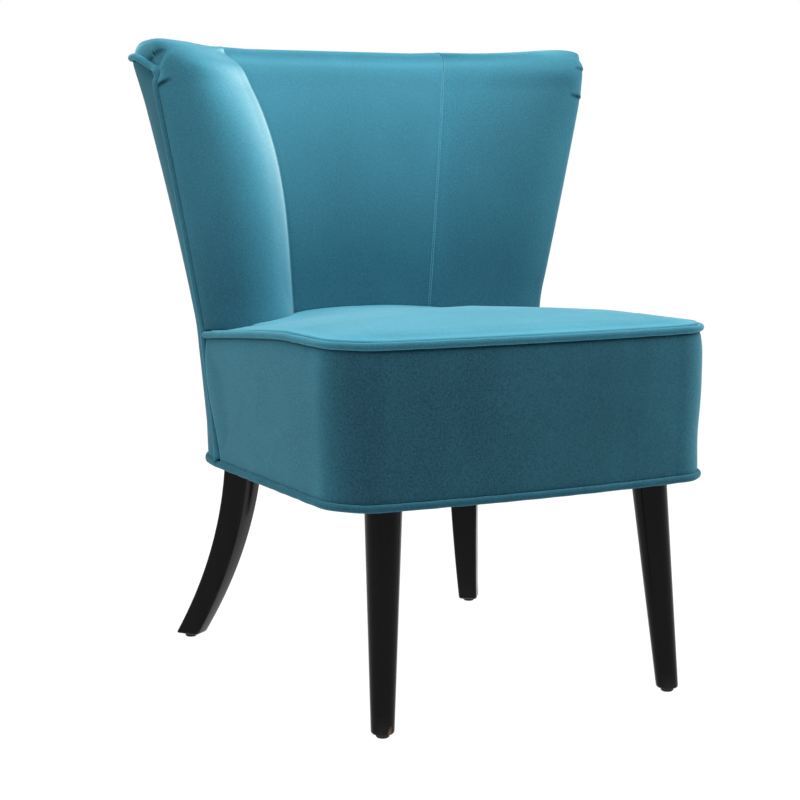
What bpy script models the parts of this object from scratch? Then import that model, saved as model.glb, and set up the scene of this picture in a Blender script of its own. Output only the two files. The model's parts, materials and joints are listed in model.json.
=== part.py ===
"""Armless wingback chair: turned front legs, sabre rear legs, webbed seat box and a flared, wrapped back.

Units are metres and +Z is up. The chair faces -Y. Lengths along Y are measured from a line
just ahead of the wings, and the whole chair then hangs from an empty that centres it.
"""
import math

import bmesh
import bpy
from mathutils import Matrix, Vector

CHAIR = "armless_wingback_chair"

# Fits
CLEAR = 0.0003              # gap left between pieces that touch
DRILL_CLEAR = 0.0004        # extra radius of a hole round its bolt or nail

# Seat box in plan
SEAT_HALF_WIDTH = 0.250
SEAT_SPREAD = 0.005         # how much wider each side of the seat is at its front corner
SEAT_FRONT_Y = -0.3656
FRONT_BOW = 0.0094           # how far the middle of the front edge stands ahead of its ends
FRONT_CORNER_RADIUS = 0.060
LEAST_CORNER_RADIUS = 0.004 # left at the front corners of pieces that lie well inside
FRONT_BLOCK_SIZE = 0.112    # from the seat's outer faces to the ends of a front corner block
EDGE_Y_LOW = 0.0104         # where the seat side meets the outside back, at the underside
EDGE_Y_SEAT = 0.0580        # the same line at the top of the seat box
EDGE_Y_TOP = 0.0478         # and at the top of the wings
BACK_REAR_Y = 0.190         # middle of the outside back at the underside
REAR_POWER = 2.15           # squareness of the rounded rear in plan, where 2 is an ellipse
REAR_POWER_GAIN = 1.38      # squareness added toward the top of the back

# Seat box in height
BOXING_BOTTOM_Z = 0.2718
BOXING_HEIGHT = 0.1715
PIPING_RADIUS = 0.0045
BOXING_THICKNESS = PIPING_RADIUS
BOXING_BULGE = 0.006
BULGE_SCALE = 6.75          # makes the highest value of share * share * (1 - share) one
SEAT_CROWN = 0.0165
CROWN_RUN = 0.190           # distance in from the edge over which the seat rises
SEAT_FALL = 0.0205           # fall of the seat's top edge from its front part to the wings
FALL_START_Y = -0.200
FALL_POWER = 1.2
CROWN_HOLD = 0.52           # share of the fall that the crown makes up in the middle

# Back
BACK_TOP_Z = 0.7986
BACK_FLARE = 0.204          # outward run of the wing edge for each metre of height
BACK_RAKE = 0.075           # backward run of the outside back for each metre of height
NOSE_RADIUS = 0.036
WING_TURN = math.radians(28.0)      # outward turn of the wing's round from straight ahead
ROUND_PULL = 0.5523                 # pull of a curve's handles that makes a quarter round
SEAM_LIFT = 0.0555          # from the top of the seat box to where the inside back seams start to bend
SEAM_HALF_GAP = 0.1072      # half the distance between the seams there
SEAM_SPREAD = 0.0207        # even and bending parts of their outward run up to the top
SEAM_FLARE = 0.0380
SEAM_Y = 0.0970
SEAM_LEAN = -0.0039         # even and bending parts of their backward run up to the top
SEAM_CURL = 0.0751
CENTRE_HOLLOW = 0.012
TOP_ROLL = 0.020            # drop from the top of the back to the piping behind it
FACE_TOP_DROP = 0.024       # where the inside cover starts to roll over the top
CORNER_EASE = 0.70          # share of the roll lost at the outer corner of a wing

# Covers and filling
COVER_THICKNESS = 0.002
PANEL_THICKNESS = PIPING_RADIUS
DUST_COVER_THICKNESS = 0.001
DECK_THICKNESS = 0.003
STRAP_THICKNESS = 0.0015
STRAP_WIDTH = 0.050
BACK_STRAP_WIDTH = 0.045

# Timber frame
RAIL_THICKNESS = 0.022
RAIL_HEIGHT = 0.075
REAR_RAIL_THICKNESS = 0.015
REAR_BLOCK_DEPTH = 0.056
BLOCK_START = math.radians(7.0)
BLOCK_END = math.radians(72.0)
POST_SIZE = 0.032
BACK_FRAME_DEPTH = 0.022
TOP_RAIL_HEIGHT = 0.060
TOP_RAIL_DROP = 0.034       # from the top of the back to the top of the top rail
LOWER_RAIL_HEIGHT = 0.050
LOWER_RAIL_DROP = 0.004     # from the top of the boxing to the top of the lower back rail
STILE_HALF_WIDTH = 0.017

# Legs
FRONT_FOOT_SIDE = 0.0518    # from the seat's side and front to the middle of a front foot
FRONT_FOOT_SETBACK = 0.0264
FRONT_LEG_SPLAY_OUT = 0.0150
FRONT_LEG_SPLAY_AHEAD = 0.0263
FRONT_LEG_TOP_RADIUS = 0.0221
FRONT_LEG_FOOT_RADIUS = 0.0136
REAR_LEG_TURN = math.radians(41.7)  # where the rear legs stand on the rounded rear rail
REAR_LEG_INSET = 0.0072     # from the inner face of that rail to the middle of a leg's bolt
REAR_LEG_KICK = 0.088
REAR_LEG_HEADING = math.radians(35.6)
REAR_LEG_CURVE = 0.86       # share of the kick that the curve adds near the floor
REAR_LEG_TOP_WIDTH = 0.0448
REAR_LEG_TOP_DEPTH = 0.0360
REAR_LEG_TOE_WIDTH = 0.0262
REAR_LEG_TOE_DEPTH = 0.0340
REAR_LEG_CORNER = 0.004
FOOT_BEVEL = 0.0015
GLIDE_RADIUS = 0.0080
GLIDE_HEIGHT = 0.005
GLIDE_NAIL_RADIUS = 0.0016
GLIDE_NAIL_LENGTH = 0.014
PLATE_RADIUS = 0.0190
PLATE_THICKNESS = 0.0025
LEG_BOLT_RADIUS = 0.004
LEG_BOLT_IN_LEG = 0.030
LEG_BOLT_IN_BLOCK = 0.035
BACK_BOLT_RADIUS = 0.004
BACK_BOLT_IN_POST = 0.045
BACK_BOLT_HEAD_RADIUS = 0.0065
BACK_BOLT_HEAD_HEIGHT = 0.005
BRACKET_LEG = 0.030
BRACKET_WIDTH = 0.024
BRACKET_THICKNESS = 0.0025

# Heights that follow from the sizes above
BOXING_TOP_Z = BOXING_BOTTOM_Z + BOXING_HEIGHT
SEAM_LOW_Z = BOXING_TOP_Z + SEAM_LIFT
LOWER_RAIL_TOP_Z = BOXING_TOP_Z - LOWER_RAIL_DROP
LOWER_RAIL_LOW_Z = LOWER_RAIL_TOP_Z - LOWER_RAIL_HEIGHT
SEAM_RISE = BACK_TOP_Z - SEAM_LOW_Z
LOW_PIPING_Z = BOXING_BOTTOM_Z - CLEAR - PIPING_RADIUS
HIGH_PIPING_Z = BOXING_TOP_Z + CLEAR + PIPING_RADIUS
SEAT_EDGE_Z = HIGH_PIPING_Z + COVER_THICKNESS
FRAME_TOP_Z = BOXING_BOTTOM_Z + RAIL_HEIGHT
PLATE_TOP_Z = BOXING_BOTTOM_Z - CLEAR
LEG_TOP_Z = PLATE_TOP_Z - PLATE_THICKNESS - CLEAR
LEG_FOOT_Z = GLIDE_HEIGHT + CLEAR
BACK_SOFT_Z = HIGH_PIPING_Z + PIPING_RADIUS + 2 * CLEAR
FACE_TOP_Z = BACK_TOP_Z - FACE_TOP_DROP
TOP_PIPING_Z = BACK_TOP_Z - TOP_ROLL
CROSS_STRAP_Z = FRAME_TOP_Z + CLEAR
LONG_STRAP_Z = CROSS_STRAP_Z + STRAP_THICKNESS + CLEAR
DECK_Z = LONG_STRAP_Z + STRAP_THICKNESS + CLEAR
SEAT_FOAM_Z = DECK_Z + DECK_THICKNESS + CLEAR

# Depths that follow, measured in from the outer face
BOXING_BACK = BOXING_THICKNESS + CLEAR
PANEL_BACK = PANEL_THICKNESS + CLEAR
BENT_RAIL_BACK = PANEL_BACK + 2 * CLEAR
REAR_BLOCK_FRONT = PANEL_BACK + REAR_RAIL_THICKNESS + CLEAR
BACK_FRAME_FRONT = PANEL_BACK + BACK_FRAME_DEPTH
BACK_STRAP_DEPTH = BACK_FRAME_FRONT + CLEAR
FOAM_BACK = BACK_STRAP_DEPTH + STRAP_THICKNESS + CLEAR
FOAM_FACE = COVER_THICKNESS + 2 * CLEAR
BACK_FOAM_FACE = COVER_THICKNESS + 4 * CLEAR
PIPING_SIDE = PIPING_RADIUS + CLEAR

# Counts of straps, and the smoothness of the drawn curves
CROSS_STRAPS = 3
LONG_STRAPS = 4
BACK_STRAPS = 3
ROUND_SIDES = 16
LEG_SIDES = 24
REAR_LEG_STEPS = 8
SECTION_STEPS = 2
BOXING_LEVELS = 5
PANEL_LOW_LEVELS = 2
EDGE_PIPING_LEVELS = 4
BEND_STEPS = 3
CORNER_STEPS = 8
FRONT_STEPS = 6
SIDE_STEPS = 6
REAR_STEPS = 24
REAR_STEP = math.pi / REAR_STEPS
SAME_TURN = 0.002           # turns closer than this are taken as one corner
WING_FACE_STEPS = 9
WING_NOSE_STEPS = 5
CENTRE_STEPS = 6
BACK_LEVELS = 7
STILE_STEPS = 5
STILE_LEVELS = 5
WING_REAR_STEPS = 4
SEAT_RINGS = (0.0, 0.10, 0.25, 0.45, 0.70)
# Roll of the inside cover over the top: share of the thickness, share of the drop still left
TOP_ROLL_STEPS = ((0.05, 0.45), (0.18, 0.12), (0.42, 0.0), (0.68, 0.08), (0.88, 0.34), (1.0, 1.0))
ROLL_CREST = 0.4            # share of the thickness at which the roll is highest


def clear_scene():
    """Remove every object that the file opened with."""
    for item in list(bpy.data.objects):
        bpy.data.objects.remove(item, do_unlink=True)


def new_collection(name):
    """Make a collection and link it to the scene."""
    group = bpy.data.collections.new(name)
    bpy.context.scene.collection.children.link(group)
    return group


def finish(name, colour, roughness, metallic=0.0):
    """Make a Principled BSDF material."""
    made = bpy.data.materials.new(name)
    made.use_nodes = True
    shader = made.node_tree.nodes["Principled BSDF"]
    shader.inputs["Base Color"].default_value = (*colour, 1.0)
    shader.inputs["Roughness"].default_value = roughness
    shader.inputs["Metallic"].default_value = metallic
    return made


clear_scene()
PARTS = new_collection(CHAIR)
CUTTERS = new_collection("cutters")
ROOT = bpy.data.objects.new("chair_root", None)
PARTS.objects.link(ROOT)


def add_object(name, data, colour, roughness, metallic=0.0):
    """Link a mesh or curve as one named piece of the chair."""
    piece = bpy.data.objects.new(name, data)
    data.materials.append(finish(name + "_finish", colour, roughness, metallic))
    PARTS.objects.link(piece)
    piece.parent = ROOT
    return piece


def velvet(name, data):
    """Link a piece covered in teal velvet."""
    return add_object(name, data, (0.018, 0.235, 0.300), 0.85)


def timber(name, data):
    """Link a piece of pale frame timber."""
    return add_object(name, data, (0.560, 0.390, 0.220), 0.65)


def black_wood(name, data):
    """Link a piece of black lacquered wood."""
    return add_object(name, data, (0.012, 0.011, 0.011), 0.35)


def steel(name, data):
    """Link a zinc plated steel piece."""
    return add_object(name, data, (0.600, 0.600, 0.580), 0.38, 1.0)


def black_plastic(name, data):
    """Link a black plastic piece."""
    return add_object(name, data, (0.020, 0.020, 0.020), 0.45)


def foam(name, data):
    """Link a piece of upholstery foam."""
    return add_object(name, data, (0.820, 0.760, 0.560), 0.95)


def webbing(name, data):
    """Link an elastic webbing strap."""
    return add_object(name, data, (0.060, 0.055, 0.050), 0.90)


def mesh_from(name, build):
    """Run a builder on a new bmesh, turn its faces outward and keep it as a mesh."""
    work = bmesh.new()
    build(work)
    bmesh.ops.recalc_face_normals(work, faces=work.faces)
    mesh = bpy.data.meshes.new(name)
    work.to_mesh(mesh)
    work.free()
    return mesh


def smooth(mesh, angle=math.radians(35.0)):
    """Shade a mesh smooth, with edges above the angle kept sharp."""
    mesh.shade_smooth()
    mesh.set_sharp_from_angle(angle=angle)
    return mesh


def loft(name, loops):
    """Join closed loops of equal count into one body with capped ends."""
    def build(work):
        rings = [[work.verts.new(point) for point in loop] for loop in loops]
        count = len(loops[0])
        for low, high in zip(rings, rings[1:]):
            for i in range(count):
                j = (i + 1) % count
                work.faces.new((low[i], low[j], high[j], high[i]))
        work.faces.new(list(reversed(rings[0])))
        work.faces.new(rings[-1])
    return smooth(mesh_from(name, build))


def prism(name, outline, z_low, z_high):
    """Raise a plan outline into a body with a flat top and bottom."""
    return loft(name, [[Vector((x, y, z)) for x, y in outline] for z in (z_low, z_high)])


def slab(name, front, back):
    """Join two grids of equal size into one closed sheet."""
    def build(work):
        sheets = [[[work.verts.new(point) for point in row] for row in grid] for grid in (front, back)]
        rows = len(front)
        columns = len(front[0])
        for sheet in sheets:
            for i in range(rows - 1):
                for j in range(columns - 1):
                    work.faces.new((sheet[i][j], sheet[i][j + 1], sheet[i + 1][j + 1], sheet[i + 1][j]))
        rim = [(0, j) for j in range(columns)]
        rim += [(i, columns - 1) for i in range(1, rows)]
        rim += [(rows - 1, j) for j in range(columns - 2, -1, -1)]
        rim += [(i, 0) for i in range(rows - 2, 0, -1)]
        for (a, b), (c, d) in zip(rim, rim[1:] + rim[:1]):
            work.faces.new((sheets[0][a][b], sheets[0][c][d], sheets[1][c][d], sheets[1][a][b]))
    return smooth(mesh_from(name, build))


def skin(name, grid, thickness):
    """Make a velvet cover: an open surface thickened inward from its outer face."""
    mesh = bpy.data.meshes.new(name)
    columns = len(grid[0])
    points = [point for row in grid for point in row]
    faces = []
    for i in range(len(grid) - 1):
        for j in range(columns - 1):
            corner = i * columns + j
            faces.append((corner, corner + 1, corner + columns + 1, corner + columns))
    mesh.from_pydata(points, [], faces)
    cover = velvet(name, smooth(mesh))
    shell = cover.modifiers.new("thickness", "SOLIDIFY")
    shell.thickness = thickness
    shell.offset = -1.0
    return cover


def box_mesh(name, size, bevel=0.0):
    """Make a box about its own centre, with its edges eased by a bevel."""
    def build(work):
        bmesh.ops.create_cube(work, size=1.0)
        bmesh.ops.transform(work, matrix=Matrix.Diagonal((*size, 1.0)), verts=work.verts)
        if bevel > 0.0:
            bmesh.ops.bevel(work, geom=work.edges, offset=bevel, segments=1, affect="EDGES")
    return mesh_from(name, build)


def rod_mesh(name, radius, height):
    """Make an upright cylinder about its own centre."""
    def build(work):
        bmesh.ops.create_cone(work, cap_ends=True, segments=ROUND_SIDES, radius1=radius, radius2=radius,
                              depth=height)
    return smooth(mesh_from(name, build))


def turned(name, profile, dress):
    """Make a profile that a Screw modifier turns about the upright axis."""
    mesh = bpy.data.meshes.new(name)
    edges = [(i, i + 1) for i in range(len(profile) - 1)]
    mesh.from_pydata([(radius, 0.0, z) for radius, z in profile], edges, [])
    piece = dress(name, mesh)
    screw = piece.modifiers.new("turn", "SCREW")
    screw.steps = ROUND_SIDES
    screw.render_steps = ROUND_SIDES
    screw.use_merge_vertices = True
    screw.merge_threshold = 0.00005
    screw.use_smooth_shade = True
    return piece


def tube(name, points, radius, closed=False):
    """Make a self-covered piping cord along a run of points."""
    curve = bpy.data.curves.new(name, "CURVE")
    curve.dimensions = "3D"
    curve.bevel_depth = radius
    curve.bevel_resolution = 2
    curve.use_fill_caps = True
    line = curve.splines.new("POLY")
    line.points.add(len(points) - 1)
    for spot, point in zip(line.points, points):
        spot.co = (*point, 1.0)
    line.use_cyclic_u = closed
    line.use_smooth = True
    return velvet(name, curve)


def bore(piece, mesh, place):
    """Cut a hole in a piece with a hidden cutter."""
    cutter = bpy.data.objects.new(piece.name + "_bore", mesh)
    cutter.location = place
    cutter.parent = ROOT
    cutter.hide_render = True
    cutter.display_type = "WIRE"
    CUTTERS.objects.link(cutter)
    cut = piece.modifiers.new("bore", "BOOLEAN")
    cut.operation = "DIFFERENCE"
    cut.solver = "EXACT"
    cut.object = cutter


def drill(piece, radius, x, y, z_low, z_high):
    """Drill an upright hole through or into a piece."""
    reach = (radius + DRILL_CLEAR) / math.cos(math.pi / ROUND_SIDES)
    bit = rod_mesh(piece.name + "_bit", reach, z_high - z_low)
    bore(piece, bit, (x, y, (z_low + z_high) / 2))


def mix(a, b, share):
    """Give the value that lies a share of the way from a to b."""
    return a + (b - a) * share


def shift_line(points, inset):
    """Move an open plan line to its left by a distance."""
    moved = []
    last = len(points) - 1
    for i, point in enumerate(points):
        run = points[min(i + 1, last)] - points[max(i - 1, 0)]
        moved.append(point + Vector((-run.y, run.x)).normalized() * inset)
    return moved


# Plan lines of the seat box

def edge_y(z):
    """Give the Y of the line where the seat side and the wing meet the outside back."""
    if z > BOXING_TOP_Z:
        left = (BACK_TOP_Z - z) / (BACK_TOP_Z - BOXING_TOP_Z)
        return mix(EDGE_Y_TOP, EDGE_Y_SEAT, left ** 2)
    share = max((z - BOXING_BOTTOM_Z) / BOXING_HEIGHT, 0.0)
    return mix(EDGE_Y_LOW, EDGE_Y_SEAT, share)


def edge_x(z):
    """Give the half width of the chair at that line."""
    return SEAT_HALF_WIDTH + BACK_FLARE * max(z - BOXING_TOP_Z, 0.0)


def rear_y(z):
    """Give the Y of the middle of the outside back."""
    return BACK_REAR_Y + BACK_RAKE * (z - BOXING_BOTTOM_Z)


def front_line(end_y, inset):
    """Draw the seat outline from its right end, round the front, to its left end."""
    radius = max(FRONT_CORNER_RADIUS - inset, LEAST_CORNER_RADIUS)
    corner_x = SEAT_HALF_WIDTH + SEAT_SPREAD - inset - radius
    corner_y = SEAT_FRONT_Y + FRONT_BOW + inset + radius
    half = []
    for i in range(SIDE_STEPS):
        share = i / SIDE_STEPS
        x = SEAT_HALF_WIDTH + SEAT_SPREAD * share - inset
        half.append(Vector((x, mix(end_y, corner_y, share))))
    for i in range(CORNER_STEPS + 1):
        turn = -math.pi / 2 * i / CORNER_STEPS
        half.append(Vector((corner_x + radius * math.cos(turn), corner_y + radius * math.sin(turn))))
    for i in range(1, FRONT_STEPS + 1):
        x = corner_x * (1 - i / FRONT_STEPS)
        bow = FRONT_BOW * (1 - (x / corner_x) ** 2)
        half.append(Vector((x, SEAT_FRONT_Y + FRONT_BOW + inset - bow)))
    return half + [Vector((-p.x, p.y)) for p in reversed(half[:-1])]


def rear_power(z):
    """Give the squareness of the rear outline, which grows toward the top of the back."""
    share = min(max((z - BOXING_BOTTOM_Z) / (BACK_TOP_Z - BOXING_BOTTOM_Z), 0.0), 1.0)
    return REAR_POWER + REAR_POWER_GAIN * share ** 2


def rear_corner(z, step, inset):
    """Give a drawn corner of the rounded rear outline, counted from its right end."""
    turn = step * REAR_STEP
    power = 2 / rear_power(z)
    across = math.cos(turn)
    back = max(math.sin(turn), 0.0)
    x = (edge_x(z) - inset) * math.copysign(abs(across) ** power, across)
    y = (rear_y(z) - edge_y(z) - inset) * back ** power
    return Vector((x, edge_y(z) + y))


def rear_point(z, turn, inset):
    """Give a point of the rear outline, at a turn from its right end, on its drawn facets."""
    step = min(int(turn / REAR_STEP), REAR_STEPS - 1)
    start = rear_corner(z, step, inset)
    return start.lerp(rear_corner(z, step + 1, inset), turn / REAR_STEP - step)


def rear_turn(z, x, inset):
    """Give the turn at which the rear outline passes an X on the right side."""
    return math.acos((x / (edge_x(z) - inset)) ** (rear_power(z) / 2))


def rear_start(z, reach, inset):
    """Give the turn at which the rear outline has run back by a distance from its right end."""
    goal = edge_y(z) + reach
    step = 0
    while rear_corner(z, step + 1, inset).y < goal:
        step += 1
    near = rear_corner(z, step, inset).y
    far = rear_corner(z, step + 1, inset).y
    return REAR_STEP * (step + (goal - near) / (far - near))


def rear_turns(start, end):
    """List the turns from start to end, with every drawn corner of the rear outline between them."""
    low, high = sorted((start, end))
    corners = [i * REAR_STEP for i in range(REAR_STEPS + 1)]
    between = [turn for turn in corners if low + SAME_TURN < turn < high - SAME_TURN]
    turns = [low] + between + [high]
    return turns if start < end else turns[::-1]


def rear_run(z, start, end, inset):
    """Draw a stretch of the rear outline."""
    return [rear_point(z, turn, inset) for turn in rear_turns(start, end)]


def rear_steps(z, start, end, inset, steps):
    """Draw a stretch of the rear outline in an even number of steps."""
    return [rear_point(z, mix(start, end, i / steps), inset) for i in range(steps + 1)]


# Plan lines of the inside back

def seam(z):
    """Give the plan point of the right inside back seam."""
    t = (z - SEAM_LOW_Z) / SEAM_RISE
    x = SEAM_HALF_GAP + SEAM_SPREAD * t + SEAM_FLARE * t ** 3
    y = SEAM_Y + SEAM_LEAN * t + SEAM_CURL * t ** 3
    return Vector((x, y))


def wing_line(z):
    """Draw the right wing from its seam, round the nose, to the outside back piping."""
    start = seam(z)
    centre = Vector((edge_x(z) - NOSE_RADIUS, edge_y(z)))
    ahead = Vector((math.sin(WING_TURN), -math.cos(WING_TURN)))
    outward = Vector((math.cos(WING_TURN), math.sin(WING_TURN)))
    front = centre + NOSE_RADIUS * ahead
    reach = front - start
    first = start + ahead * (ROUND_PULL * reach.dot(ahead))
    second = front - outward * (ROUND_PULL * reach.dot(outward))
    line = []
    for i in range(WING_FACE_STEPS):
        s = i / WING_FACE_STEPS
        near = start * (1 - s) ** 3 + first * (3 * s * (1 - s) ** 2)
        line.append(near + second * (3 * s ** 2 * (1 - s)) + front * s ** 3)
    foremost = WING_TURN - math.pi / 2
    stop = -math.asin(PIPING_SIDE / NOSE_RADIUS)
    for i in range(WING_NOSE_STEPS + 1):
        turn = mix(foremost, stop, i / WING_NOSE_STEPS)
        line.append(centre + NOSE_RADIUS * Vector((math.cos(turn), math.sin(turn))))
    return line


def centre_line(z, side_gap):
    """Draw the centre panel from its left seam to its right one."""
    end = seam(z)
    half = end.x - side_gap
    line = []
    for i in range(CENTRE_STEPS + 1):
        x = mix(-half, half, i / CENTRE_STEPS)
        line.append(Vector((x, end.y + CENTRE_HOLLOW * (1 - (x / end.x) ** 2))))
    return line


def side_fall(y):
    """Give how far the seat's top edge has fallen at a distance back."""
    share = max(y - FALL_START_Y, 0.0) / (EDGE_Y_SEAT - FALL_START_Y)
    return SEAT_FALL * share ** FALL_POWER


def raise_line(line, z):
    """Lift a plan line to a height."""
    return [Vector((p.x, p.y, z)) for p in line]


def mirrored(grid):
    """Reflect a grid to the other side of the chair, with its faces still outward."""
    return [[Vector((-p.x, p.y, p.z)) for p in reversed(row)] for row in grid]


def levels(low, high, steps):
    """Give evenly spaced heights."""
    return [mix(low, high, i / steps) for i in range(steps + 1)]


def both_sides(build):
    """Run a builder for the left and the right side."""
    for side, word in ((-1, "left"), (1, "right")):
        build(side, word)


# Legs

def rounded_section(half_width, half_depth, radius):
    """Draw a rectangle with eased corners about its own centre."""
    points = []
    for quarter in range(4):
        sign_x = 1 if quarter in (0, 3) else -1
        sign_y = 1 if quarter in (0, 1) else -1
        for step in range(SECTION_STEPS + 1):
            turn = math.pi / 2 * (quarter + step / SECTION_STEPS)
            x = sign_x * (half_width - radius) + radius * math.cos(turn)
            y = sign_y * (half_depth - radius) + radius * math.sin(turn)
            points.append(Vector((x, y)))
    return points


def leg_hardware(end, word, head, foot, leg):
    """Fit a leg with its plate, hanger bolt and nail-in glide, and drill the leg for them."""
    plate = steel(f"{end}_leg_plate_{word}", rod_mesh("plate", PLATE_RADIUS, PLATE_THICKNESS))
    plate.location = (head.x, head.y, PLATE_TOP_Z - PLATE_THICKNESS / 2)
    bolt_low = LEG_TOP_Z - LEG_BOLT_IN_LEG
    bolt_high = PLATE_TOP_Z + LEG_BOLT_IN_BLOCK
    bolt = steel(f"{end}_leg_hanger_bolt_{word}", rod_mesh("bolt", LEG_BOLT_RADIUS, bolt_high - bolt_low))
    bolt.location = (head.x, head.y, (bolt_low + bolt_high) / 2)
    drill(plate, LEG_BOLT_RADIUS, head.x, head.y, bolt_low, bolt_high)
    drill(leg, LEG_BOLT_RADIUS, head.x, head.y, bolt_low - CLEAR, bolt_high)
    nail_top = GLIDE_HEIGHT + GLIDE_NAIL_LENGTH
    profile = [(0.0, nail_top), (GLIDE_NAIL_RADIUS, nail_top), (GLIDE_NAIL_RADIUS, GLIDE_HEIGHT)]
    profile += [(GLIDE_RADIUS, GLIDE_HEIGHT), (GLIDE_RADIUS, FOOT_BEVEL)]
    profile += [(GLIDE_RADIUS - FOOT_BEVEL, 0.0), (0.0, 0.0)]
    glide = turned(f"{end}_leg_glide_{word}", profile, black_plastic)
    glide.location = (foot.x, foot.y, 0.0)
    drill(leg, GLIDE_NAIL_RADIUS, foot.x, foot.y, 0.0, nail_top + CLEAR)


def front_leg(side, word):
    """Make a tapered round front leg, splayed and cut level at both ends."""
    height = LEG_TOP_Z - LEG_FOOT_Z
    foot = Vector((side * (SEAT_HALF_WIDTH - FRONT_FOOT_SIDE), SEAT_FRONT_Y + FRONT_FOOT_SETBACK))
    run = Vector((side * FRONT_LEG_SPLAY_OUT, -FRONT_LEG_SPLAY_AHEAD))
    head = foot - run

    def build(work):
        bmesh.ops.create_cone(work, cap_ends=True, segments=LEG_SIDES, radius1=FRONT_LEG_FOOT_RADIUS,
                              radius2=FRONT_LEG_TOP_RADIUS, depth=height)
        splay = Matrix.Identity(4)
        splay[0][2] = -run.x / height
        splay[1][2] = -run.y / height
        bmesh.ops.transform(work, matrix=splay, verts=work.verts)
        rim = [edge for edge in work.edges if all(v.co.z < 0.0 for v in edge.verts)]
        bmesh.ops.bevel(work, geom=rim, offset=FOOT_BEVEL, segments=2, affect="EDGES")

    leg = black_wood(f"front_leg_{word}", smooth(mesh_from("front_leg", build)))
    middle = (foot + head) / 2
    leg.location = (middle.x, middle.y, (LEG_TOP_Z + LEG_FOOT_Z) / 2)
    leg_hardware("front", word, head, foot, leg)
    return head


def rear_leg(side, word):
    """Make a sabre rear leg that sweeps out and back to its toe."""
    stand = rear_point(BOXING_BOTTOM_Z, REAR_LEG_TURN, REAR_BLOCK_FRONT + REAR_LEG_INSET)
    head = Vector((side * stand.x, stand.y))
    sweep = Vector((side * math.sin(REAR_LEG_HEADING), math.cos(REAR_LEG_HEADING)))
    foot = head + sweep * REAR_LEG_KICK
    across = Vector((sweep.y, -sweep.x))
    loops = []
    for i in range(REAR_LEG_STEPS + 1):
        s = i / REAR_LEG_STEPS
        reach = REAR_LEG_KICK * (s + REAR_LEG_CURVE * s * (1 - s))
        centre = foot - sweep * reach
        width = mix(REAR_LEG_TOE_WIDTH, REAR_LEG_TOP_WIDTH, s)
        depth = mix(REAR_LEG_TOE_DEPTH, REAR_LEG_TOP_DEPTH, s)
        z = mix(LEG_FOOT_Z, LEG_TOP_Z, s)
        loop = []
        for p in rounded_section(width / 2, depth / 2, REAR_LEG_CORNER):
            spot = centre + across * p.x + sweep * p.y
            loop.append(Vector((spot.x, spot.y, z)))
        loops.append(loop)
    leg = black_wood(f"rear_leg_{word}", loft("rear_leg", loops))
    leg_hardware("rear", word, head, foot, leg)
    return head


# Seat frame

def seat_frame(heads):
    """Make the rails and corner blocks of the seat, drilled for the leg and back bolts."""
    block_x = SEAT_HALF_WIDTH - FRONT_BLOCK_SIZE
    block_y = SEAT_FRONT_Y + FRONT_BOW + FRONT_BLOCK_SIZE
    middle_z = (BOXING_BOTTOM_Z + FRAME_TOP_Z) / 2

    front_y = SEAT_FRONT_Y + FRONT_BOW + BOXING_BACK
    bar = box_mesh("rail", (2 * (block_x - CLEAR), RAIL_THICKNESS, RAIL_HEIGHT))
    front = timber("seat_front_rail", bar)
    front.location = (0.0, front_y + RAIL_THICKNESS / 2, middle_z)

    rear = []
    for inset in (PANEL_BACK, PANEL_BACK + REAR_RAIL_THICKNESS):
        rear.append(rear_run(BOXING_BOTTOM_Z, 0.0, math.pi, inset))
    timber("seat_rear_rail", prism("rail", rear[0] + rear[1][::-1], BOXING_BOTTOM_Z, FRAME_TOP_Z))

    def side_pieces(side, word):
        length = EDGE_Y_LOW - block_y - 2 * CLEAR
        rail = timber(f"seat_{word}_rail", box_mesh("rail", (RAIL_THICKNESS, length, RAIL_HEIGHT)))
        rail_x = SEAT_HALF_WIDTH - BOXING_BACK - RAIL_THICKNESS / 2
        rail.location = (side * rail_x, (EDGE_Y_LOW + block_y) / 2, middle_z)

        radius = FRONT_CORNER_RADIUS - BOXING_BACK
        corner = Vector((SEAT_HALF_WIDTH - FRONT_CORNER_RADIUS, front_y + radius))
        plan = [Vector((block_x, block_y)), Vector((corner.x + radius, block_y))]
        for i in range(CORNER_STEPS + 1):
            turn = -math.pi / 2 * i / CORNER_STEPS
            plan.append(corner + radius * Vector((math.cos(turn), math.sin(turn))))
        plan.append(Vector((block_x, front_y)))
        block = timber(f"front_corner_block_{word}",
                       prism("block", [(side * p.x, p.y) for p in plan], BOXING_BOTTOM_Z, FRAME_TOP_Z))
        head = heads["front"][word]
        top = PLATE_TOP_Z + LEG_BOLT_IN_BLOCK + CLEAR
        drill(block, LEG_BOLT_RADIUS, head.x, head.y, LEG_TOP_Z, top)

        strip = rear_run(BOXING_BOTTOM_Z, BLOCK_START, BLOCK_END, REAR_BLOCK_FRONT)
        strip += rear_run(BOXING_BOTTOM_Z, BLOCK_END, BLOCK_START, REAR_BLOCK_FRONT + REAR_BLOCK_DEPTH)
        block = timber(f"rear_corner_block_{word}",
                       prism("block", [(side * p.x, p.y) for p in strip], BOXING_BOTTOM_Z, FRAME_TOP_Z))
        head = heads["rear"][word]
        drill(block, LEG_BOLT_RADIUS, head.x, head.y, LEG_TOP_Z, top)
        spot = post_centre(side)
        head_top = BOXING_BOTTOM_Z + BACK_BOLT_HEAD_HEIGHT + CLEAR
        drill(block, BACK_BOLT_RADIUS, spot.x, spot.y, head_top - CLEAR, FRAME_TOP_Z + CLEAR)
        drill(block, BACK_BOLT_HEAD_RADIUS, spot.x, spot.y, LEG_TOP_Z, head_top)

    both_sides(side_pieces)


# Seat suspension and filling

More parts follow.
